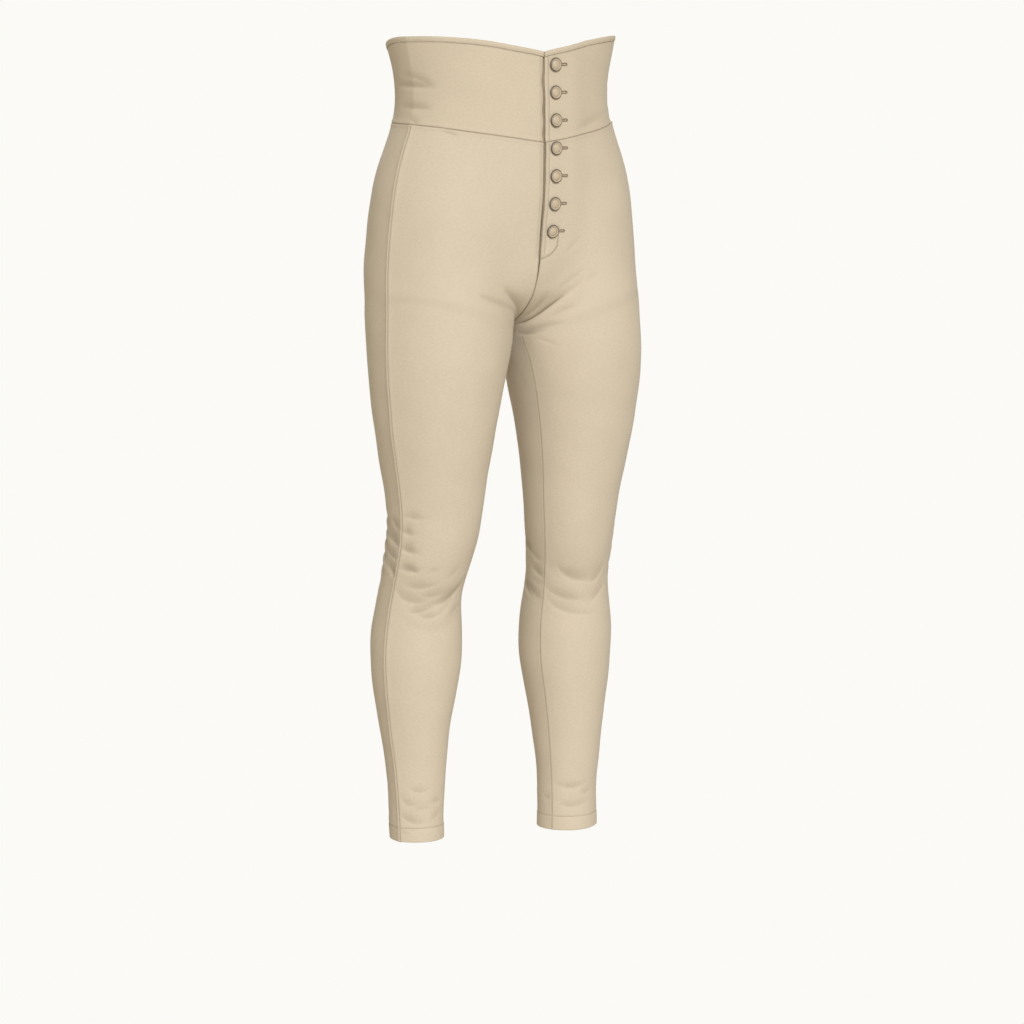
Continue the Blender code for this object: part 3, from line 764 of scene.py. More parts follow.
    def shares_at(
        self, points: Array, share: Array, steps: Array, middle: int, far_steps: Array = EDGE_STEPS
    ) -> Array:
        """Shares that put columns at set distances from both edges and evenly between.

        Args:
            points: coarse grid on the form.
            share: the coarse grid's shares.
            steps: distances in from the first edge.
            middle: number of even columns between.
            far_steps: distances in from the last edge.

        Returns:
            Share of every column in every row.
        """
        run = lengths(points, 1)
        total = run[:, -1:]
        near = steps + self.seam_gap / 2 + 0 * total
        far = total - (far_steps + self.seam_gap / 2 + 0 * total)[:, ::-1]
        even = np.linspace(0, 1, middle + 2)[1:-1]
        between = near[:, -1:] + (far[:, :1] - near[:, -1:]) * even
        wanted = np.concatenate((near, between, far), 1)
        shift = np.arange(len(run))[:, None] * self.row_shift
        found = np.interp((wanted + shift).ravel(), (run + shift).ravel(), np.tile(share, len(run)))
        return found.reshape(wanted.shape)

    def panel_grid(self, levels: Array, face: Face, steps: Array, middle: int) -> Array:
        """Grid of one half's front or back with its columns spaced along the cloth.

        Args:
            levels: heights of the rows at the outer seam.
            face: front or back.
            steps: distances of the first columns from the inner edge.
            middle: number of even columns between the edges' own.

        Returns:
            Points, rows down and columns outwards.
        """
        coarse = np.linspace(0, 1, self.coarse_columns)
        points = self.panel_points(levels, coarse, face)
        return self.panel_points(levels, self.shares_at(points, coarse, steps, middle), face)

    def band_points(self, angles: Array, shares: Array, drop: float) -> Array:
        """Grid on the form between the waist seam and the top edge.

        Args:
            angles: a column each, round from the centre front.
            shares: a row each, from the seam up.
            drop: how far the top row lies below the top edge.

        Returns:
            Points, rows up and columns to the centre back.
        """
        rim = self.rim(np.degrees(angles))
        low = rim[..., 1] + self.seam_gap
        high = rim[..., 0] - drop
        height = low + (high - low) * shares[:, None]
        zero = np.zeros_like(height)
        return self.cast(np.stack((zero, zero, height), -1), bearing(angles + zero, zero))

    def route(self, crease: Crease, about: About) -> tuple[Array, Array]:
        """A crease's line on the form: a parabola through its three points.

        Args:
            crease: the crease.
            about: what its bearings are measured about.

        Returns:
            Points along it, and the form's normals there.
        """
        share = np.linspace(0, 1, self.route_points)
        weights = ((1 - share) * (1 - 2 * share), 4 * share * (1 - share), share * (2 * share - 1))
        angle = np.radians(np.dot((crease.bearing_1, crease.bearing_2, crease.bearing_3), weights))
        height = np.dot((crease.height_1, crease.height_2, crease.height_3), weights)
        zero = 0 * height
        centre = self.fan_centres(height) if about is About.LEG else np.stack((zero, zero, height), -1)
        points = self.cast(centre, bearing(angle, zero))
        return points, self.normals(points)

    def ahead(self, across: Array, height: Array) -> Array:
        """Points of the front at a distance from the centre front and a height."""
        origin = np.stack((*np.broadcast_arrays(across, 0.0, height),), -1)
        return self.cast(origin, np.array([0.0, -1.0, 0.0]))


@dataclass
class Relief:
    """What moves the cloth off its form: creases laid on as listed and faint long ripples."""

    form: Form
    reach: float = 3.2
    strength: float = 0.80
    end_swell: float = 0.10
    end_width: float = 0.55
    lip_place: float = 1.7
    # Share of painted shade laid in a crease's trough
    shade: float = 0.46
    shade_depth: float = 0.0018
    shade_cut: float = 0.50
    fold_strength: float = 0.6
    fold_shade: float = 0.25
    tight_shade: float = 2.4
    taper: Splines = field(default_factory=lambda: Splines(TAPER))

    def crease_lay(self, points: Array, crease: Crease, about: About) -> tuple[Array, Array]:
        """How far one crease moves each point, and the painted shade of its trough there.

        The crease is a bell across its route, wider on its upper side by the lean and
        narrower on the lower, with a small bell of the other sign just below as its lip.
        Both swell as half a sine wave from one end of the route to the other. The painted
        shade is the same bell, cut narrower on the lower side.

        Args:
            points: places on the form.
            crease: the crease.
            about: what its bearings are measured about.

        Returns:
            Push outwards, and painted shade from 0 to 1.
        """
        route, out = self.form.route(crease, about)
        push = np.zeros(points.shape[:-1])
        dark = np.zeros(points.shape[:-1])
        margin = self.reach * crease.width * crease.lean
        near = np.all((points > route.min(0) - margin) & (points < route.max(0) + margin), -1)
        if not near.any():
            return push, dark
        start = route[:-1]
        run = route[1:] - start
        offset = points[near][:, None, :] - start
        share_run = np.clip(np.sum(offset * run, -1) / np.sum(run * run, -1), 0, 1)
        gap = offset - share_run[..., None] * run
        away = np.linalg.norm(gap, axis=-1)
        nearest = np.argmin(away, -1)
        pick = np.arange(len(nearest)), nearest
        down = np.cross(run, (out[:-1] + out[1:]) / 2)[nearest]
        signed = away[pick] * np.where(np.sum(gap[pick] * down, -1) > 0, 1, -1)
        share = (nearest + share_run[pick]) / len(run)
        swell = np.sin(np.pi * (self.end_swell + (1 - 2 * self.end_swell) * share))
        width = crease.width * (self.end_width + (1 - self.end_width) * swell)
        lip_width = width / crease.lean
        side_width = np.where(signed < 0, width * crease.lean, lip_width)
        lip = crease.lip * bump(signed, self.lip_place * lip_width, lip_width)
        push[near] = crease.depth * swell * (bump(signed, 0, side_width) - lip)
        shade_width = np.where(signed < 0, side_width, side_width * self.shade_cut)
        share_deep = min(-crease.depth / self.shade_depth, 1.0)
        dark[near] = self.shade * share_deep * swell * bump(signed, 0, shade_width)
        return push, dark

    def sets(self, side: Side, about: About) -> list[tuple[Sequence[Crease], float, float]]:
        """The sets of creases of one side of the legs or the band.

        Args:
            side: half of the garment.
            about: legs or waistband.

        Returns:
            Each set with the share of its depth and of its painted shade that is laid on.
        """
        if about is About.WAIST:
            return [(BAND_CREASES[side], self.strength, 1.0)]
        tight = TIGHT_CREASES if side is Side.LEFT else ()
        return [
            (LEG_CREASES[side], self.strength, 1.0),
            (tight, self.strength, self.tight_shade),
            (FOLDS[side], self.fold_strength, self.fold_shade),
        ]

    def lay(self, points: Array, side: Side, about: About) -> tuple[Array, Array]:
        """Sum of one side's folds, creases and ripples, and of the fullness at the fork, with the creases'
        painted shade.

        The ripples are sine waves that differ between sides; each fullness is a bell of
        the distance from its centre.

        Args:
            points: places on the form.
            side: half of the garment that they are for.
            about: legs or waistband.

        Returns:
            Push outwards, and the creases' painted shade from 0 to 1.
        """
        total = np.zeros(points.shape[:-1])
        shade = np.zeros(points.shape[:-1])
        if about is About.LEG:
            total += self.taper(points[..., 2])[..., 0 if side is Side.RIGHT else 1]
            for full in FULLNESSES:
                away = np.linalg.norm(points - np.array((full.across, full.through, full.up)), axis=-1)
                total += full.height * bump(away, 0, full.reach)
        for creases, strength, share in self.sets(side, about):
            for crease in creases:
                push, dark = self.crease_lay(points, crease, about)
                total += strength * push
                shade = 1 - (1 - shade) * (1 - np.minimum(share * dark, 1))
        for wave in WAVES:
            turns = points @ np.array((wave.across * side.value, wave.through, wave.up))
            total += wave.height * np.sin(2 * np.pi * turns + wave.phase)
        return total, shade


@dataclass
class Closing:
    """The lapped front: the garment's left edge over the button stand on the right."""

    stand_width: float = 0.036
    bottom: float = -0.205
    lift_bottom: float = -0.185
    fade: float = 0.036
    fade_down: float = 0.048
    play: float = 0.003
    lift: float = 0.0027
    roll_height: float = 0.0006
    roll_at: float = 0.0016
    stitch_at: float = 0.0058
    stitch_depth: float = 0.0004
    stitch_width: float = 0.0010
    hollow_depth: float = 0.0013
    hollow_at: float = 0.0022
    hollow_width: float = 0.0028
    wide_at: tuple[float, ...] = (0.0235, -0.0125, -0.042)
    wide_over: float = 0.009
    # Painted shade on the right front under the lap's edge
    under_shade: float = 0.85
    dark_least: float = 0.0006
    dark_swell: float = 0.0016
    dark_fade: float = 0.0012
    fly_length: float = 0.052
    fly_points: int = 40

    def over(self, points: Array) -> Array:
        """How far the left front stands out over the stand, without its edge's detail.

        Args:
            points: places on the form.

        Returns:
            The lift, eased out across, down below the lap and round to the side.
        """
        across = 1 - ease((points[..., 0] - self.stand_width - self.play) / self.fade)
        down = 1 - ease((self.lift_bottom - points[..., 2]) / self.fade_down)
        in_front = ease(-points[..., 1] / self.fade)
        return self.lift * across * down * in_front

    def present(self, heights: Array) -> Array:
        """1 along the open lap, fading to 0 just above its lower end."""
        return ease((heights - self.bottom - self.play) / (3 * self.play))

    def edge(self, points: Array, inward: Array) -> Array:
        """Detail of the lap's own edge: a soft roll, its stitched line and a slight sway.

        Args:
            points: places on the form.
            inward: their distances from the lap's edge along the cloth.

        Returns:
            Push outwards: a bell for the roll less a bell for the line of stitches, plus
            sine waves in height that die away from the edge.
        """
        turns = 2 * np.pi * points[..., 2]
        roll = self.roll_height * bump(inward, self.roll_at, self.roll_at)
        line = self.stitch_depth * bump(inward, self.stitch_at, self.stitch_width)
        sway = sum(wave.height * np.sin(turns / wave.length + wave.phase) for wave in SWAYS)
        return (roll - line + sway * (1 - ease(inward / self.fade))) * self.present(points[..., 2])

    def hollow(self, points: Array, inward: Array) -> Array:
        """Trough down the right front that the lap's edge lies over: a bell of the distance in."""
        bell = bump(inward, self.hollow_at, self.hollow_width)
        return -self.hollow_depth * bell * self.present(points[..., 2])

    def under(self, heights: Array, inward: Array) -> Array:
        """Painted shade on the right front under the lap's edge, in a strip that widens in places.

        Args:
            heights: heights of the points.
            inward: their distances from the centre front along the cloth.

        Returns:
            Painted shade from 0 to 1.
        """
        swell = sum(bump(heights, at, self.wide_over) for at in self.wide_at)
        clear = inward - self.dark_least - self.dark_swell * swell
        return self.under_shade * (1 - ease(clear / self.dark_fade)) * self.present(heights)

    def fly_places(self, count: int) -> Array:
        """Even places along the curved line of stitches: distances across, and heights."""
        line = np.array(FLY_STITCH)
        return along(line, lengths(line, 0), np.linspace(0, self.fly_length, count))

    def fly_line(self, points: Array) -> Array:
        """Trough of the curved line of stitches, for its depth and its painted shade: a bell of the distance
        from it, 0 to 1.
        """
        away = np.linalg.norm(points[..., None, ::2] - self.fly_places(self.fly_points), axis=-1)
        return bump(np.min(away, -1), 0, self.stitch_width) * (points[..., 1] < 0)


@dataclass(frozen=True)
class Shell:
    """A closed mesh: its points, faces, distances along the cloth and painted shade of its folds, seams and
    edges.
    """

    points: Array
    quads: Array
    triangles: Array
    flat: Array
    painted_shade: Array

    def outward(self) -> "Shell":
        """The same mesh with its faces turned outwards, by the sign of its volume.

        Returns:
            The shell itself, or one with every face turned round.
        """
        a, b, c = self.corners()
        if np.sum(a * np.cross(b, c)) >= 0:
            return self
        return Shell(self.points, self.quads[:, ::-1], self.triangles[:, ::-1], self.flat, self.painted_shade)

    def corners(self) -> tuple[Array, Array, Array]:
        """Corner points of every triangle."""
        faces = np.concatenate((self.quads[:, :3], self.quads[:, [0, 2, 3]], self.triangles))
        return self.points[faces[:, 0]], self.points[faces[:, 1]], self.points[faces[:, 2]]

    def area(self) -> float:
        """Area of the whole surface."""
        a, b, c = self.corners()
        return float(np.linalg.norm(np.cross(b - a, c - a), axis=-1).sum() / 2)


def folded_shell(outer: Array, inner: Array, flat: Array, painted_shade: Array) -> Shell:
    """Closed shell of two matching grids that share their rim.

    Args:
        outer: grid of points on the outside.
        inner: grid on the inside; its rim is the outer one's and is left out.
        flat: grid of distances along the cloth.
        painted_shade: grid of painted shade in folds and seams, 0 to 1.

    Returns:
        The closed shell.
    """
    rows, columns = outer.shape[:2]
    index = np.arange(rows * columns).reshape(rows, columns)
    under = index.copy()
    count = (rows - 2) * (columns - 2)
    under[1:-1, 1:-1] = rows * columns + np.arange(count).reshape(rows - 2, columns - 2)
    top = (index[:-1, :-1], index[:-1, 1:], index[1:, 1:], index[1:, :-1])
    low = (under[:-1, :-1], under[1:, :-1], under[1:, 1:], under[:-1, 1:])
    quads = np.concatenate([np.stack([corner.ravel() for corner in quad], -1) for quad in (top, low)])

    def both(grid: Array, other: Array) -> Array:
        """Values of the whole outer grid, then of the inner one's middle."""
        width = grid.shape[2:]
        return np.concatenate((grid.reshape(-1, *width), other[1:-1, 1:-1].reshape(-1, *width)))

    no_triangles = np.zeros((0, 3), int)
    dark = both(painted_shade, 0 * painted_shade)
    return Shell(both(outer, inner), quads, no_triangles, both(flat, flat), dark).outward()


def ringed_shell(rings: Array, first: Array, last: Array, painted_shade: Array) -> Shell:
    """Closed shell of rings in a row, drawn together to a point at either end.

    Args:
        rings: (count, sides, 3) points, one ring after another.
        first: point that closes the first ring.
        last: point that closes the last.
        painted_shade: (count, sides) painted shade.

    Returns:
        The closed shell.
    """
    count, sides = rings.shape[:2]
    index = np.arange(count * sides).reshape(count, sides)
    after = np.roll(index, -1, axis=1)
    quads = np.stack((index[:-1], after[:-1], after[1:], index[1:]), -1).reshape(-1, 4)
    low = np.stack((after[0], index[0], np.full(sides, count * sides)), -1)
    high = np.stack((index[-1], after[-1], np.full(sides, count * sides + 1)), -1)
    points = np.concatenate((rings.reshape(-1, 3), first[None], last[None]))
    run = lengths(rings.mean(1), 0)[:, None]
    flat = np.stack(np.broadcast_arrays(lengths(rings[:1], 1), run), -1).reshape(-1, 2)
    flat = np.concatenate((flat, flat[:1], flat[-1:]))
    dark = np.concatenate((painted_shade.ravel(), painted_shade[0, :1], painted_shade[-1, :1]))
    return Shell(points, quads, np.concatenate((low, high)), flat, dark).outward()


@dataclass(frozen=True)
class Laid:
    """A grid laid on the form: its points and normals, and distances along the cloth from each edge."""

    grid: Array
    out: Array
    near: Array
    far: Array
    start: Array
    end: Array

    @classmethod
    def on(cls, form: Form, grid: Array) -> "Laid":
        """Measures a grid of points on the form.

        Args:
            form: the form.
            grid: points on it, in rows and columns.

        Returns:
            The grid with distances from its first and last columns and rows.
        """
        across = lengths(grid, 1)
        down = lengths(grid, 0)
        return cls(grid, form.normals(grid), across, across[:, -1:] - across, down, down[-1:] - down)

    def skins(self, push: Array, thick: Array, rounds: Sequence[Array]) -> tuple[Array, Array]:
        """Outside and inside of cloth on the grid, rounded off at its four edges.

        Args:
            push: how far its outside stands off the form.
            thick: its thickness.
            rounds: radii of the outside at the near, far, start and end edges; the inside
                takes up the rest of the thickness.

        Returns:
            Grids of the outside and of the inside, which meet at the rim.
        """
        draw_out = 0 * push
        draw_in = 0 * push
        for away, radius in zip((self.near, self.far, self.start, self.end), rounds):
            draw_out = np.maximum(draw_out, closing_in(away, radius))
            draw_in = np.maximum(draw_in, closing_in(away, thick - radius))
        outer = self.grid + (push - draw_out)[..., None] * self.out
        return outer, self.grid + (push - thick + draw_in)[..., None] * self.out


def feed(tree: bpy.types.NodeTree, target: bpy.types.Node, sockets: dict[str | int, object]) -> None:
    """Sets a node's inputs.

    Args:
        tree: the tree that it is in.
        target: the node.
        sockets: by name or place, a value to set or another node's output to link.
    """
    for key, value in sockets.items():
        if isinstance(value, bpy.types.NodeSocket):
            tree.links.new(value, target.inputs[key])
        else:
            target.inputs[key].default_value = value


def node(
    tree: bpy.types.NodeTree, kind: str, sockets: dict[str | int, object], **settings: str
) -> bpy.types.Node:
    """A new shader node.

    Args:
        tree: the tree that it goes in.
        kind: its type, without the words that all of them start with.
        sockets: its inputs, as feed takes them.
        settings: the node's own choices.

    Returns:
        The node.
    """
    made = tree.nodes.new(f"ShaderNode{kind}")
    for name, value in settings.items():
        setattr(made, name, value)
    feed(tree, made, sockets)
    return made


def raised(tree: bpy.types.NodeTree, height: bpy.types.Node, sockets: dict) -> bpy.types.NodeSocket:
    """The normal of a pattern raised as a bump."""
    made = node(tree, "Bump", {"Height": height.outputs["Fac"], **sockets})
    return made.outputs["Normal"]


@dataclass(frozen=True)
class Finish:
    """Base of a finish: its name and its slot in the record."""

    name: str
    slot: str

    def material(self) -> bpy.types.Material:
        """The material, made once and then found by its name.

        Returns:
            The material.
        """
        found = bpy.data.materials.get(self.name)
        if found is not None:
            return found
        made = bpy.data.materials.new(self.name)
        made.use_nodes = True
        self.wire(made.node_tree)
        return made

    def wire(self, tree: bpy.types.NodeTree) -> None:
        """Sets the shader up; each kind of finish has its own way."""
        raise NotImplementedError


@dataclass(frozen=True)
class ClothFinish(Finish):
    """Matt cotton twill: mottled tan, fine diagonal ribs and grain, with painted shade in its folds, seams
    and edges.
    """

    colour: tuple[float, float, float]
    # Multiplier of the colour where the painted shade is full
    dark: tuple[float, float, float] = (0.44, 0.41, 0.34)
    blotch: float = 0.012
    mottle: float = 0.055
    slant: float = 0.62
    streaks: tuple[float, float, float] = (240.0, 560.0, 240.0)
    ribs_a_metre: float = 520.0
    rib_depth: float = 0.00016
    grain_depth: float = 0.00022
    roughness: float = 0.92
    sheen: float = 0.06

    def spread(self, tree: bpy.types.NodeTree, noise: bpy.types.Node, by: float) -> bpy.types.NodeSocket:
        """The middle of a noise, spread evenly to as much above 1 as below it."""
        ends = {"From Min": 0.3, "From Max": 0.7, "To Min": 1 - by, "To Max": 1 + by}
        return node(tree, "MapRange", {"Value": noise.outputs["Fac"], **ends}).outputs["Result"]

    def wire(self, tree: bpy.types.NodeTree) -> None:
        """Cloth colour times mottle, mixed towards a darker tint by the painted shade of folds, seams, hem
        and lap; ribs and grain as bumps.

        Args:
            tree: the material's nodes.
        """
        place = node(tree, "TexCoord", {}).outputs["Object"]
        flat = node(tree, "UVMap", {}, uv_map="cloth").outputs["UV"]
        blotch = node(tree, "TexNoise", {"Vector": place, "Scale": 38.0, "Detail": 3.0, "Roughness": 0.6})
        turned = {"Vector": flat, "Rotation": (0.0, 0.0, self.slant), "Scale": self.streaks}
        slant = node(tree, "Mapping", turned).outputs["Vector"]
        fleck = node(tree, "TexNoise", {"Vector": slant, "Scale": 1.0, "Detail": 3.0, "Roughness": 0.7})
        light = self.spread(tree, blotch, self.blotch)
        speck = self.spread(tree, fleck, self.mottle)
        both = node(tree, "Math", {0: light, 1: speck}, operation="MULTIPLY")
        # Painted shade of folds, seams, hem edge and lap, mixing the colour towards its darker tint
        painted_cloth_shade = node(tree, "Attribute", {}, attribute_name="painted_shade").outputs["Fac"]
        deep = (*np.multiply(self.colour, self.dark).tolist(), 1)
        shade = node(tree, "Mix", {0: painted_cloth_shade, 6: (*self.colour, 1), 7: deep}, data_type="RGBA")
        tint = {0: shade.outputs[2], "Scale": both.outputs["Value"]}
        weave = {"Vector": flat, "Scale": self.ribs_a_metre, "Distortion": 0.6, "Detail": 1.0}
        rib = node(tree, "TexWave", weave, bands_direction="DIAGONAL")
        grain = node(tree, "TexNoise", {"Vector": flat, "Scale": 1500.0, "Detail": 2.0, "Roughness": 0.6})
        ribbed = raised(tree, rib, {"Strength": 0.5, "Distance": self.rib_depth})
        grained = raised(tree, grain, {"Strength": 0.5, "Distance": self.grain_depth, "Normal": ribbed})
        finished = {
            "Base Color": node(tree, "VectorMath", tint, operation="SCALE").outputs["Vector"],
            "Normal": grained,
            "Roughness": self.roughness,
            "Metallic": 0.0,
            "Specular IOR Level": 0.15,
            "Sheen Weight": self.sheen,
            "Sheen Roughness": 0.6,
        }
        feed(tree, tree.nodes["Principled BSDF"], finished)


@dataclass(frozen=True)
class ThreadFinish(Finish):
    """Twisted thread: plain colour with a fine twist raised on it."""

    colour: tuple[float, float, float]
    roughness: float = 0.8
    twist_depth: float = 0.0001

    def wire(self, tree: bpy.types.NodeTree) -> None:
        """One colour, matt, roughened by a fine noise.

        Args:
            tree: the material's nodes.
        """
        place = node(tree, "TexCoord", {}).outputs["Object"]
        twist = node(tree, "TexNoise", {"Vector": place, "Scale": 2500.0, "Detail": 1.0})
        finished = {
            "Base Color": (*self.colour, 1),
            "Normal": raised(tree, twist, {"Strength": 0.4, "Distance": self.twist_depth}),
            "Roughness": self.roughness,
            "Specular IOR Level": 0.2,
        }
        feed(tree, tree.nodes["Principled BSDF"], finished)


@dataclass(frozen=True)
class ButtonFinish(Finish):
    """Horn-like button: even tan with cloudy streaks and a soft polish, darkened by painted shade round its
    rim and in its groove.
    """

    colour: tuple[float, float, float]
    streak: tuple[float, float, float]
    # Multiplier of the colour where the painted shade is full
    dark: float = 0.22
    roughness: float = 0.42

    def wire(self, tree: bpy.types.NodeTree) -> None:
        """Two colours mixed by a cloudy noise, darkened by the painted shade under the button, round its rim
        and in its turned groove.

        Args:
            tree: the material's nodes.
        """
        place = node(tree, "TexCoord", {}).outputs["Object"]
        cloud = node(tree, "TexNoise", {"Vector": place, "Scale": 260.0, "Detail": 3.0, "Distortion": 0.8})
        streaks = {0: cloud.outputs["Fac"], 6: (*self.colour, 1), 7: (*self.streak, 1)}
        painted_button_shade = node(tree, "Attribute", {}, attribute_name="painted_shade").outputs["Fac"]
        shade = node(tree, "MapRange", {"Value": painted_button_shade, "To Min": 1.0, "To Max": self.dark})
        mixed = node(tree, "Mix", streaks, data_type="RGBA").outputs[2]
        tint = node(tree, "VectorMath", {0: mixed, "Scale": shade.outputs["Result"]}, operation="SCALE")
        finished = {
            "Base Color": tint.outputs["Vector"],
            "Roughness": self.roughness,
            "Specular IOR Level": 0.4,
        }
        feed(tree, tree.nodes["Principled BSDF"], finished)


FRONT_CLOTH = ClothFinish("front cloth", "front", (0.430, 0.345, 0.232))
BACK_CLOTH = ClothFinish("back cloth", "back", (0.430, 0.345, 0.232))
BAND_CLOTH = ClothFinish("waistband cloth", "waistband", (0.420, 0.335, 0.222))
EDGE_CLOTH = ClothFinish("binding cloth", "binding", (0.420, 0.335, 0.222))
# Stand cloth: the fronts' colour darkened, as painted shade of the lap lying over it
STAND_CLOTH = ClothFinish("stand cloth", "stand", (0.393, 0.313, 0.210))
THREAD = ThreadFinish("thread", "front", (0.290, 0.225, 0.140))
# Darker than the other thread: painted shade of the slot under the roll
HOLE_THREAD = ThreadFinish("buttonhole thread", "front", (0.165, 0.125, 0.075))
HORN = ButtonFinish("button horn", "buttons", (0.420, 0.325, 0.205), (0.330, 0.247, 0.150))
FRONT_CUT = Cut(0.275, 0.955, 0.147)
BACK_CUT = Cut(0.366, 0.975, 0.233)
BAND_CUT = Cut(0.417, 0.109, 0.0375)
STAND_CUT = Cut(0.036, 0.259, 0.0093)


def linked(name: str, data: bpy.types.ID) -> bpy.types.Object:
    """A new object of the mesh, light or camera, in the scene.

    Args:
        name: the object's name.
        data: what it shows.

    Returns:
        The object.
    """
    made = bpy.data.objects.new(name, data)
    bpy.context.collection.objects.link(made)
    return made


def aim(item: bpy.types.Object, towards: Vector) -> None:
    """Turns a light or camera to look along a direction, its top upwards."""
    item.rotation_mode = "QUATERNION"
    item.rotation_quaternion = towards.to_track_quat("-Z", "Y")


def make_piece(name: str, shell: Shell, finish: Finish, nodes: Sequence[str] = ()) -> bpy.types.Object:
    """Makes one piece of the scene, riding on the garment.

    Args:
        name: the piece's name.
        shell: its closed mesh.
        finish: its material; the slot that it holds is not used here.
        nodes: the solids that it stands for.

    Returns:
        The new object.
    """
    mesh = bpy.data.meshes.new(name)
    mesh.from_pydata(shell.points.tolist(), [], shell.quads.tolist() + shell.triangles.tolist())
    corner = np.empty(len(mesh.loops), dtype=np.int32)
    mesh.loops.foreach_get("vertex_index", corner)
    layer = mesh.uv_layers.new(name="cloth")
    layer.uv.foreach_set("vector", shell.flat[corner].astype(np.float32).ravel())
    # Painted shade of folds, seams and edges, which the finishes read to darken the colour
    dark = mesh.attributes.new("painted_shade", "FLOAT", "POINT")
    dark.data.foreach_set("value", shell.painted_shade.astype(np.float32))
    mesh.shade_smooth()
    mesh.materials.append(finish.material())
    mesh.update()
    piece = linked(name, mesh)
    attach(piece, ROOT)
    if nodes:
        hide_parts(*nodes)
    count = 2 * len(shell.quads) + len(shell.triangles)
    LOG.info("%s: %d triangles, surface %.4f m2", name, count, shell.area())
    return piece


@dataclass
class Stitches:
    """A run of short stitches: small rounded rods lying end to end along a line."""

    pitch: float = 0.0028
    length: float = 0.0021
    radius: float = 0.00024
    sides: int = 6
    rings: int = 4
    lift: float = 0.00012

    def rod(self) -> Shell:
        """One stitch, along X with its top at +Z.

        Its rings' radius is the square root of 1 less the cube of the distance from the
        middle in half lengths, and it ends in a point either way.

        Returns:
            The closed shell.
        """
        place = np.linspace(-1, 1, self.rings + 2)[1:-1, None]
        thick = np.sqrt(1 - np.abs(place) ** 3) * self.radius
        turn = full_turn(self.sides)
        rings = (place * self.length / 2 + 0 * turn, thick * np.cos(turn), thick * np.sin(turn) + self.lift)
        tip = np.array((self.length / 2, 0, 0))
        return ringed_shell(np.stack(rings, -1), -tip, tip, np.zeros((self.rings, self.sides)))

    def run(self, line: Array, out: Array) -> Shell:
        """Rods laid along a line of points.

        Args:
            line: the points.
            out: the outward normals there.

        Returns:
            One mesh of all the rods.
        """
        run = lengths(line, 0)
        count = max(2, int(run[-1] / self.pitch))
        at = (np.arange(count) + 0.5) * run[-1] / count
        step = self.length / 4
        towards = unit(along(line, run, at + step) - along(line, run, at - step))
        away = along(out, run, at)
        axes = np.stack((towards, unit(np.cross(towards, away)), away), 1)
        rod = self.rod()
        points = (along(line, run, at)[:, None] + rod.points @ axes).reshape(-1, 3)
        shift = (np.arange(count) * len(rod.points))[:, None, None]
        quads = (rod.quads + shift).reshape(-1, 4)
        triangles = (rod.triangles + shift).reshape(-1, 3)
        return Shell(points, quads, triangles, points[:, ::2], np.zeros(len(points))).outward()


@dataclass(kw_only=True)
class ClothPiece:
    """What every piece of cloth has: its half, its place, its finish, and its flat cut."""

    form: Form
    closing: Closing
    finish: ClothFinish
    cut: Cut
    side: Side = Side.LEFT
    edge_round: float = 0.0005
    roll_at: float = 0.0022
    seam_dark: float = 0.0011
    line_shade: float = 0.25
    line_width: float = 0.0007

    def make(self, label: str, skins: tuple[Array, Array], flat: Array, dark: Array) -> bpy.types.Object:
        """The piece, from its outside and inside, on its own half in place of the solid of its label."""
        outer, inner = (mirrored(skin, self.side) for skin in skins)
        return make_piece(f"{label}_cloth", folded_shell(outer, inner, flat, dark), self.finish, [label])

    def stitches(self, name: str, line: Array, out: Array) -> bpy.types.Object:
        """Stitches along a line of the left half, on this piece's own."""
        shell = Stitches().run(mirrored(line, self.side), mirrored(out, self.side))
        return make_piece(name, shell, THREAD)

    def line_column(self, laid: Laid) -> int:
        """The column of the stitched line along the lap's edge."""
        return int(np.argmin(np.abs(laid.near[0] - self.closing.stitch_at)))

    def line_dark(self, laid: Laid) -> Array:
        """Painted shade in the stitched line's trough along the lap's edge, a bell of the distance from it.
        """
        return self.line_shade * bump(laid.near, self.closing.stitch_at, self.line_width)

    def roll(self, distance: Array) -> Array:
        """A soft roll of cloth beside a seam, a bell of the distance from it."""
        return bump(distance, self.roll_at, self.roll_at)

    def declare(self, piece: bpy.types.Object, extras: Sequence[bpy.types.Object]) -> None:
        """Args:
            piece: the piece; not used.
            extras: what is sewn to it; not used.
        """


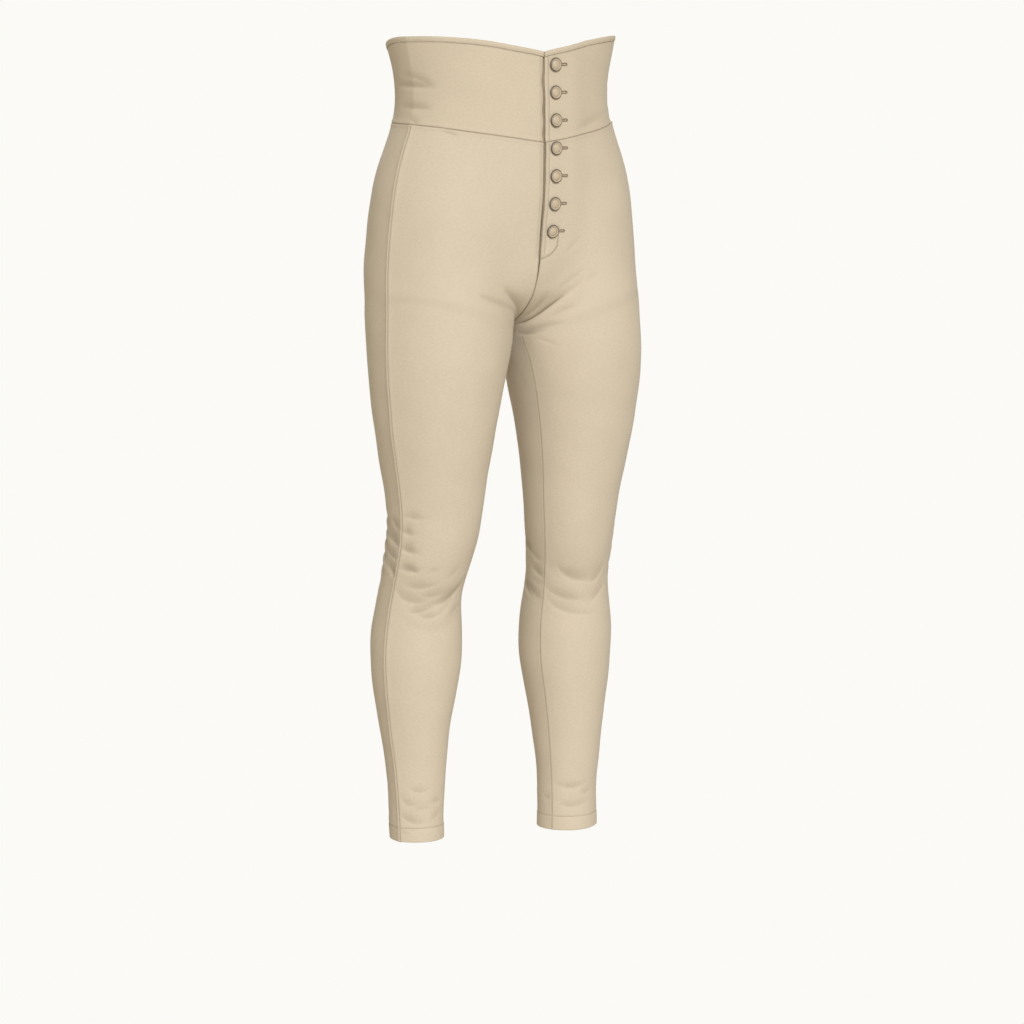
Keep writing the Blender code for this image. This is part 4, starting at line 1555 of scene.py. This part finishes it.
@dataclass(kw_only=True)
class LegPanel(ClothPiece):
    """One leg's front or back, from the waist seam to the turned-up hem."""

    face: Face
    relief: Relief
    thickness: float = 0.0018
    middle_columns: int = 74
    hem_height: float = 0.0195
    hem_proud: float = 0.0005
    hem_thickness: float = 0.0030
    hem_step: float = 0.0009
    hem_line_at: float = 0.0012
    hem_line_depth: float = 0.0004
    # Painted shade at the hem's edge
    hem_shade: float = 0.35
    hem_dark: float = 0.0006
    hem_line_inset: int = 4
    crest_height: float = 0.0038
    crest_fade: float = 0.013
    crest_behind: float = 0.0015
    back_roll: float = 0.0007
    front_roll: float = 0.00025
    waist_roll: float = 0.0006
    # Painted shade in the seams, stronger in the centre seam, and in the fly's stitched line
    seam_shade: float = 0.40
    centre_shade: float = 0.60
    fly_shade: float = 0.75
    fly_depth: float = 0.0004
    fly_points: int = 60
    lap_line_clear: float = 0.012
    waist_clear: float = 0.001
    left_longer: float = 0.0080
    longer_from: float = -0.7800
    longer_over: float = 0.1400

    @property
    def lapped(self) -> bool:
        """Whether it is the left front, which laps over the stand."""
        return self.side is Side.LEFT and self.face is Face.FRONT

    @property
    def under_lap(self) -> bool:
        """Whether it is the right front, which the lap lies over."""
        return self.side is Side.RIGHT and self.face is Face.FRONT

    def levels(self) -> Array:
        """Heights of the rows at the outer seam, from the waist seam to the hem.

        Returns:
            The heights; the left leg's ease down below the knee to be a little longer.
        """
        levels = [self.form.top_level]
        for run in ROW_RUNS:
            start = levels[-1]
            count = max(1, round((start - run.end) / run.spacing))
            levels.extend(np.linspace(start, run.end, count + 1)[1:])
        levels = np.array(levels)
        if self.side is Side.LEFT:
            levels -= self.left_longer * ease((self.longer_from - levels) / self.longer_over)
        return levels

    def push(self, laid: Laid, open_lap: Array, in_hem: Array) -> tuple[Array, Array]:
        """Relief of the panel: creases, seams' rolls, side crest, hem, and the lap.

        The crest beside the outer seam is a falling exponential either way.

        Args:
            laid: the panel's grid.
            open_lap: 1 where the front is open, 0 where it is sewn.
            in_hem: 1 in the hem, 0 above it.

        Returns:
            Push outwards, and the creases' painted shade.
        """
        push, creased = self.relief.lay(laid.grid, self.side, About.LEG)
        is_back = self.face is Face.BACK
        push += (self.back_roll if is_back else self.front_roll) * self.roll(laid.far)
        push += self.front_roll * self.roll(laid.near) * (1 - open_lap)
        behind = -self.crest_behind if is_back else self.crest_behind
        push += self.crest_height * np.exp(-np.abs(laid.far + behind) / self.crest_fade)
        push += self.waist_roll * self.roll(laid.start)
        push += self.hem_proud * in_hem
        push -= self.hem_line_depth * bump(laid.end, self.hem_height - self.hem_line_at, self.line_width)
        if self.lapped:
            push += self.closing.over(laid.grid) + self.closing.edge(laid.grid, laid.near)
            push -= self.fly_depth * self.closing.fly_line(laid.grid)
        if self.under_lap:
            push += self.closing.hollow(laid.grid, laid.near)
        return push, creased

    def shades(self, laid: Laid, levels: Array, open_lap: Array) -> list[Array]:
        """Painted shade in the seams, at the hem's edge, and under and along the lap, bells of the distance
        from each.

        Args:
            laid: the panel's grid.
            levels: heights of its rows at the outer seam.
            open_lap: 1 where the front is open, 0 where it is sewn.

        Returns:
            A grid of painted shade for each.
        """
        inner = np.where(levels > self.form.fork_level, self.centre_shade, self.seam_shade)
        shades = [
            inner[:, None] * bump(laid.near, 0, self.seam_dark),
            self.seam_shade * bump(np.minimum(laid.far, laid.start), 0, self.seam_dark),
            self.hem_shade * bump(laid.end, self.hem_height, self.hem_dark),
        ]
        if self.under_lap:
            shades.append(self.closing.under(laid.grid[..., 2], laid.near))
        if self.lapped:
            shades.append(self.line_dark(laid) * open_lap)
            shades.append(self.fly_shade * self.closing.fly_line(laid.grid))
        return shades

    def build(self) -> None:
        """Lays the panel on the form, moves it by its relief and seams, and sews its stitches."""
        levels = self.levels()
        steps = LAP_STEPS if self.lapped else EDGE_STEPS
        grid = self.form.panel_grid(levels, self.face, steps, self.middle_columns)
        laid = Laid.on(self.form, grid)
        open_lap = self.closing.present(grid[..., 2]) * (self.face is Face.FRONT)
        in_hem = ease((self.hem_height - laid.end) / self.hem_step + 0.5)
        push, creased = self.push(laid, open_lap, in_hem)
        thick = self.thickness + (self.hem_thickness - self.thickness) * in_hem
        shallow = np.minimum(self.edge_round, thick / 2)
        lap_round = shallow + (thick / 2 - shallow) * open_lap * self.lapped
        skins = laid.skins(push, thick, (lap_round, shallow, shallow, thick / 2))
        middle = laid.near.shape[1] // 2
        across = laid.near - laid.near[:, middle, None]
        flat = np.stack((across, 0 * across - laid.start[:, middle, None]), -1)
        label = f"{self.face.value}_{self.side.name.lower()}"
        # Painted shade of creases, seams, hem edge and lap
        dark = np.maximum.reduce([creased, *self.shades(laid, levels, open_lap)])
        panel = self.make(label, skins, flat, dark)
        row = int(np.argmin(np.abs(laid.end[:, middle] - self.hem_height + self.hem_line_at)))
        inset = slice(self.hem_line_inset, -self.hem_line_inset)
        extras = [self.stitches(f"hem_stitches_{label}", skins[0][row, inset], laid.out[row, inset])]
        if self.lapped:
            extras += self.lap_stitches(skins[0], laid, levels)
        self.declare(panel, extras)

    def lap_stitches(self, outer: Array, laid: Laid, levels: Array) -> list[bpy.types.Object]:
        """The stitches down the lap's edge, and the curved line that holds its lower end.

        Args:
            outer: grid of the panel's outside.
            laid: its grid on the form.
            levels: heights of its rows at the outer seam.

        Returns:
            Both pieces.
        """
        column = self.line_column(laid)
        above_end = outer[:, column, 2] > self.closing.bottom + self.lap_line_clear
        rows = above_end & (levels < self.form.top_level - self.waist_clear)
        seat = self.form.ahead(*self.closing.fly_places(self.fly_points).T)
        away = self.form.normals(seat)
        push = self.closing.over(seat) + self.relief.lay(seat, self.side, About.LEG)[0]
        seat = seat + (push - self.fly_depth)[:, None] * away
        return [
            self.stitches("lap_stitches_front", outer[rows, column], laid.out[rows, column]),
            self.stitches("fly_stitches", seat, away),
        ]


@dataclass(kw_only=True)
class Waistband(ClothPiece):
    """One half of the waistband, from the centre front to the centre back, and its binding."""

    relief: Relief
    thickness: float = 0.0024
    middle_columns: int = 190
    coarse_columns: int = 121
    edge_shares: tuple[float, ...] = (0, 0.0015, 0.005, 0.012, 0.022, 0.036, 0.054, 0.075)
    middle_rows: int = 30
    middle_from: float = 0.1
    middle_to: float = 0.92
    roll_height: float = 0.0006
    # Painted shade in the seams and along the top edge under the binding
    seam_shade: float = 0.38
    top_shade: float = 0.5
    top_dark: float = 0.0010
    line_inset: int = 3
    facet_angle: float = 80.0
    facet_radius: float = 0.145
    facet_height: float = 0.0020
    facet_fade: float = 0.014
    binding_height: float = 0.0068
    binding_thickness: float = 0.0040
    binding_sides: int = 20
    binding_inset: float = 0.0012
    # Painted shade along the binding's underside
    binding_shade: float = 0.5
    binding_shade_below: float = -0.9
    squareness: float = 0.6
    end_rounding: float = 0.0010
    end_least: float = 0.6
    end_least_high: float = 0.8

    def lay(self, points: Array) -> tuple[Array, Array]:
        """Relief of the band: creases, the soft facet at the side, and the lap on the left.

        The facet is a ridge down the side seam's line, a falling exponential either way.

        Args:
            points: places on the form.

        Returns:
            Push outwards, and the creases' painted shade.
        """
        push, dark = self.relief.lay(points, self.side, About.WAIST)
        angle = np.degrees(np.arctan2(points[..., 0], -points[..., 1]))
        away = np.radians(np.abs(angle - self.facet_angle)) * self.facet_radius
        push += self.facet_height * np.exp(-away / self.facet_fade)
        if self.side is Side.LEFT:
            push += self.closing.over(points)
        return push, dark

    def columns(self, points: Array, coarse: Array, steps: Array, far_steps: Array) -> Array:
        """Angles of the columns, spaced along the cloth of a first row of points."""
        return self.form.shares_at(points[:1], coarse, steps, self.middle_columns, far_steps)[0]

    def grid(self) -> Array:
        """Grid on the form.

        Returns:
            Points, rows upwards and columns from the centre front to the centre back.
        """
        coarse = np.linspace(0, np.pi, self.coarse_columns)
        edge = np.array(self.edge_shares)
        between = np.linspace(self.middle_from, self.middle_to, self.middle_rows)
        shares = np.concatenate((edge, between, 1 - edge[::-1]))
        points = self.form.band_points(coarse, shares, self.binding_height)
        angles = self.columns(points, coarse, EDGE_STEPS, EDGE_STEPS)
        return self.form.band_points(angles, shares, self.binding_height)

    def build(self) -> None:
        """Lays the half band on the form with its seam roll, lap edge, stitches and binding."""
        laid = Laid.on(self.form, self.grid())
        is_left = self.side is Side.LEFT
        push, creased = self.lay(laid.grid)
        push += self.roll_height * self.roll(laid.start)
        if is_left:
            push += self.closing.edge(laid.grid, laid.near)
            lapped = self.line_dark(laid)
        else:
            push += self.closing.hollow(laid.grid, laid.near)
            lapped = self.closing.under(laid.grid[..., 2], laid.near)
        lap_round = self.thickness / 2 if is_left else self.edge_round
        skins = laid.skins(push, self.thickness, (lap_round, *(self.edge_round,) * 3))
        # Painted shade in the seams, along the top edge under the binding, in the creases, and at the lap
        seams = self.seam_shade * bump(np.minimum(laid.start, laid.far), 0, self.seam_dark)
        top = self.top_shade * bump(laid.end, 0, self.top_dark)
        dark = np.maximum.reduce([seams, top, creased, lapped])
        flat = np.stack((laid.near, laid.start), -1)
        label = self.side.name.lower()
        band = self.make(f"waistband_{label}", skins, flat, dark)
        extras = [self.binding(label)]
        if is_left:
            line = slice(self.line_inset, -self.line_inset), self.line_column(laid)
            extras.append(self.stitches("lap_stitches_band", skins[0][line], laid.out[line]))
        self.declare(band, extras)

    def binding(self, label: str) -> bpy.types.Object:
        """The bound top edge: a squarish tube along the rim, rounded off at both ends, with painted shade
        along its underside.

        Its section's two coordinates are the cosine and sine of the turn, each raised to
        the squareness with its sign kept.

        Args:
            label: name of the half.

        Returns:
            The new object.
        """
        coarse = np.linspace(0, np.pi, self.coarse_columns)
        one = np.array([1.0])
        drop = self.binding_height / 2
        angles = self.columns(self.form.band_points(coarse, one, drop), coarse, END_STEPS, END_STEPS)
        form = self.form.band_points(angles, one, drop)[0]
        out = self.form.normals(form)
        up = unit(self.form.band_points(angles, one, 0.0)[0] - form)
        run = lengths(form, 0)
        drawn = closing_in(np.minimum(run, run[-1] - run), self.end_rounding) / self.end_rounding
        slim = 1 - (1 - self.end_least) * drawn[:, None]
        low = self.end_least_high + (1 - self.end_least_high) * slim
        push = self.lay(form)[0]
        if self.side is Side.LEFT:
            push += self.closing.edge(form, run)
        centre = form + (push - self.binding_inset)[:, None] * out
        turn = full_turn(self.binding_sides)
        section = [np.sign(v) * np.abs(v) ** self.squareness for v in (np.cos(turn), np.sin(turn))]
        across = section[0] * self.binding_thickness / 2 * slim
        along_up = section[1] * self.binding_height / 2 * low
        rings = centre[:, None] + across[..., None] * out[:, None] + along_up[..., None] * up[:, None]
        # Painted shade along the underside of the tube
        dark = self.binding_shade * (section[1] < self.binding_shade_below) + 0 * across
        ends = mirrored(centre[[0, -1]], self.side)
        shell = ringed_shell(mirrored(rings, self.side), *ends, dark)
        return make_piece(f"binding_{label}_cloth", shell, EDGE_CLOTH, [f"binding_{label}"])


@dataclass(kw_only=True)
class ButtonStand(ClothPiece):
    """The strip behind the left front that carries the buttons."""

    first: float = 0.00015
    top: float = 0.0528
    depth: float = 0.0005
    thickness: float = 0.0018
    columns: int = 24
    rows: int = 130
    # Even painted shade over the whole strip, under the lap
    shade: float = 0.2

    def build(self) -> None:
        """A plain strip just under the form, thin and rounded at its edges, evenly darkened by painted shade.
        """
        heights = np.linspace(self.top, self.closing.bottom, self.rows)
        widths = np.linspace(self.first, self.closing.stand_width, self.columns)
        laid = Laid.on(self.form, self.form.ahead(*np.meshgrid(widths, heights)))
        push = 0 * laid.near - self.depth
        skins = laid.skins(push, self.thickness, (self.thickness / 2,) * 4)
        flat = np.stack((laid.near, -laid.start), -1)
        stand = self.make("button_stand", skins, flat, 0 * push + self.shade)


@dataclass
class Buttons:
    """Seven turned buttons down the lap, and the worked holes that they pass through."""

    form: Form
    relief: Relief
    closing: Closing
    inset: float = 0.0147
    top: float = 0.0443
    pitch: float = 0.0346
    count: int = 7
    diameter: float = 0.0172
    sides: int = 64
    clear: float = 0.0003
    crown: float = 0.00002
    band_above: float = -0.045
    hole_start: float = 0.0125
    hole_end: float = 0.0330
    hole_half: float = 0.0012
    # Painted shade of the slot, kept on the mesh; the thread's finish does not read it
    hole_shade: float = 0.15
    hole_sides: int = 12
    hole_points: int = 180
    thread_across: float = 0.0016
    thread_high: float = 0.00055
    stitch_pitch: float = 0.0008
    stitch_ripple: float = 0.14

    def surface(self, across: Array, height: Array) -> tuple[Array, Array]:
        """Places on the left front's outside.

        Args:
            across: distances from the centre front.
            height: heights.

        Returns:
            The points, and the form's normals there.
        """
        seat = self.form.ahead(across, height)
        out = self.form.normals(seat)
        about = About.WAIST if np.mean(height) > self.band_above else About.LEG
        push = self.closing.over(seat) + self.relief.lay(seat, Side.LEFT, about)[0]
        return seat + push[..., None] * out, out

    def build(self) -> None:
        """Makes every button and its hole, from the top down."""
        for number in range(1, self.count + 1):
            height = self.top - (number - 1) * self.pitch
            self.button(number, height)
            self.hole(number, height)

    def button(self, number: int, height: float) -> None:
        """A turned button: its outline carried round its axis.

        Args:
            number: its number from the top.
            height: height of its middle.
        """
        seat, axis = self.surface(np.array(self.inset), np.array(height))
        seat = seat + self.clear * axis
        side = unit(np.cross(np.array([0.0, 0, 1]), axis))
        up = np.cross(axis, side)
        turn = full_turn(self.sides)[:, None]
        spoke = np.cos(turn) * side + np.sin(turn) * up
        # The outline's painted shade, one value for each ring
        share, off, dark = np.array(BUTTON_OUTLINE).T[:, :, None, None]
        rings = seat + axis * off + spoke * share * self.diameter / 2
        last = seat + axis * (off[-1, 0, 0] + self.crown)
        shell = ringed_shell(rings, seat, last, dark[..., 0] + np.zeros(rings.shape[:2]))
        make_piece(f"button_{number}_turned", shell, HORN, [f"button_{number}"])

    def hole_line(self, at: Array, straight: float, bend: float) -> tuple[Array, Array]:
        """Places round a buttonhole's slot: two straight sides and two half circles.

        Args:
            at: distances round it, from the left end of its lower side.
            straight: length of a side.
            bend: length of a half circle.

        Returns:
            Distances from the centre front, and heights above the slot's middle.
        """
        left = self.hole_start + self.hole_half
        right = self.hole_end - self.hole_half
        turn_right = np.clip((at - straight) / self.hole_half, 0, np.pi)
        turn_left = np.clip((at - 2 * straight - bend) / self.hole_half, 0, np.pi)
        on_return = at > straight + bend
        back = np.clip(at - straight - bend, 0, straight)
        x = np.where(at < straight, left + at, right + self.hole_half * np.sin(turn_right))
        x = np.where(on_return, right - back - self.hole_half * np.sin(turn_left), x)
        return x, np.where(on_return, -np.cos(turn_left), np.cos(turn_right)) * self.hole_half

    def hole(self, number: int, height: float) -> None:
        """A worked buttonhole: a thread roll round a slot, ribbed by its stitches.

        The roll is an ellipse carried round the slot's line; its size is a sine wave of
        the distance, one for each stitch.

        Args:
            number: its number from the top.
            height: height of its middle.
        """
        straight = self.hole_end - self.hole_start - 2 * self.hole_half
        bend = np.pi * self.hole_half
        total = 2 * straight + 2 * bend
        at = np.linspace(0, total, self.hole_points, endpoint=False)
        x, z = self.hole_line(at, straight, bend)
        line, out = self.surface(x, z + height)
        across = np.cross(unit(np.roll(line, -1, 0) - np.roll(line, 1, 0)), out)
        turn = full_turn(self.hole_sides)
        waves = np.round(total / self.stitch_pitch)
        ripple = 1 + self.stitch_ripple * np.sin(2 * np.pi * waves * at / total)[:, None]
        wide = ripple * np.cos(turn) * self.thread_across / 2
        high = ripple * np.sin(turn) * self.thread_high
        rings = line[:, None] + wide[..., None] * across[:, None] + high[..., None] * out[:, None]
        index = np.arange(rings.shape[0] * self.hole_sides).reshape(-1, self.hole_sides)
        after = np.roll(index, -1, 1)
        quads = np.stack((index, after, np.roll(after, -1, 0), np.roll(index, -1, 0)), -1).reshape(-1, 4)
        points = rings.reshape(-1, 3)
        dark = np.full(len(points), self.hole_shade)
        shell = Shell(points, quads, np.zeros((0, 3), int), points[:, ::2], dark)
        make_piece(f"buttonhole_{number}", shell.outward(), HOLE_THREAD)


@dataclass
class Studio:
    """Pale lit floor, a sky that dims upwards, two broad soft suns, and the camera."""

    floor_height: float = -1.13
    floor_half: float = 400.0
    pale: tuple[float, float, float] = (0.965, 0.956, 0.923)
    overhead: tuple[float, float, float] = (0.44, 0.400, 0.290)
    dims_from: float = 0.02
    dims_to: float = 0.12
    suns: tuple[Sun, ...] = (Sun("sun", -17.0, 31.0, 4.7), Sun("rear sun", 160.0, 32.0, 2.4))
    sun_angle: float = 26.0
    sun_colour: tuple[float, float, float] = (0.765, 0.840, 1.0)
    camera_place: tuple[float, float, float] = (-2.4, -4.157, 0.10)
    camera_target: tuple[float, float, float] = (0.01186, -0.00685, -0.5298)
    lens: float = 131.98
    sensor: float = 36.0
    sees_to: float = 200.0

    def build(self) -> None:
        """Makes the floor, the light and the camera."""
        self.floor()
        self.light()
        self.camera()
        bpy.context.scene.view_settings.view_transform = "Standard"
        LOG.info("studio: floor, sky, suns and camera")

    def floor(self) -> None:
        """A wide level square that glows as pale as the horizon, so that it shows no shadow."""
        h = self.floor_half
        z = self.floor_height
        mesh = bpy.data.meshes.new("floor")
        mesh.from_pydata([(-h, -h, z), (h, -h, z), (h, h, z), (-h, h, z)], [], [(0, 1, 2, 3)])
        material = bpy.data.materials.new("floor")
        material.use_nodes = True
        glow = {
            "Base Color": (0, 0, 0, 1),
            "Specular IOR Level": 0.0,
            "Emission Color": (*self.pale, 1),
            "Emission Strength": 1.0,
        }
        feed(material.node_tree, material.node_tree.nodes["Principled BSDF"], glow)
        mesh.materials.append(material)
        linked("floor", mesh)

    def light(self) -> None:
        """The sky, a smooth step from pale to dim by height, and the suns."""
        world = bpy.data.worlds.new("studio")
        bpy.context.scene.world = world
        world.use_nodes = True
        tree = world.node_tree
        place = node(tree, "TexCoord", {}).outputs["Generated"]
        up = node(tree, "SeparateXYZ", {"Vector": place}).outputs["Z"]
        height = node(tree, "CombineXYZ", {"X": up, "Y": up, "Z": up}).outputs["Vector"]
        steps = {6: height, 7: (self.dims_from,) * 3, 8: (self.dims_to,) * 3, 9: self.pale, 10: self.overhead}
        sky = node(tree, "MapRange", steps, data_type="FLOAT_VECTOR", interpolation_type="SMOOTHSTEP")
        feed(tree, tree.nodes["Background"], {"Color": sky.outputs["Vector"]})
        for sun in self.suns:
            self.shine(sun)

    def shine(self, sun: Sun) -> None:
        """A broad sun, aimed from its bearing down at the garment.

        Args:
            sun: where it stands and how strong it is.
        """
        data = bpy.data.lights.new(sun.name, "SUN")
        data.energy = sun.strength
        data.color = self.sun_colour
        data.angle = np.radians(self.sun_angle)
        light = linked(sun.name, data)
        aim(light, -Vector(bearing(np.radians(sun.azimuth), np.radians(sun.elevation))))

    def camera(self) -> None:
        """The camera, at the picture's viewing angle."""
        data = bpy.data.cameras.new("camera")
        data.lens = self.lens
        data.sensor_width = self.sensor
        data.clip_end = self.sees_to
        camera = linked("camera", data)
        camera.location = self.camera_place
        aim(camera, Vector(self.camera_target) - Vector(self.camera_place))
        bpy.context.scene.camera = camera


def main() -> None:
    """Makes every piece in order, from the legs up, then the studio."""
    logging.basicConfig(level=logging.INFO, format="%(message)s", stream=sys.stdout)
    form = Form()
    relief = Relief(form)
    closing = Closing()
    shared = {"form": form, "closing": closing}
    worn = {"relief": relief, **shared}
    for side in Side:
        LegPanel(side=side, face=Face.FRONT, finish=FRONT_CLOTH, cut=FRONT_CUT, **worn).build()
        LegPanel(side=side, face=Face.BACK, finish=BACK_CLOTH, cut=BACK_CUT, **worn).build()
    for side in Side:
        Waistband(side=side, finish=BAND_CLOTH, cut=BAND_CUT, **worn).build()
    ButtonStand(finish=STAND_CLOTH, cut=STAND_CUT, **shared).build()
    Buttons(form, relief, closing).build()
    Studio().build()


if __name__ == "__main__":
    main()
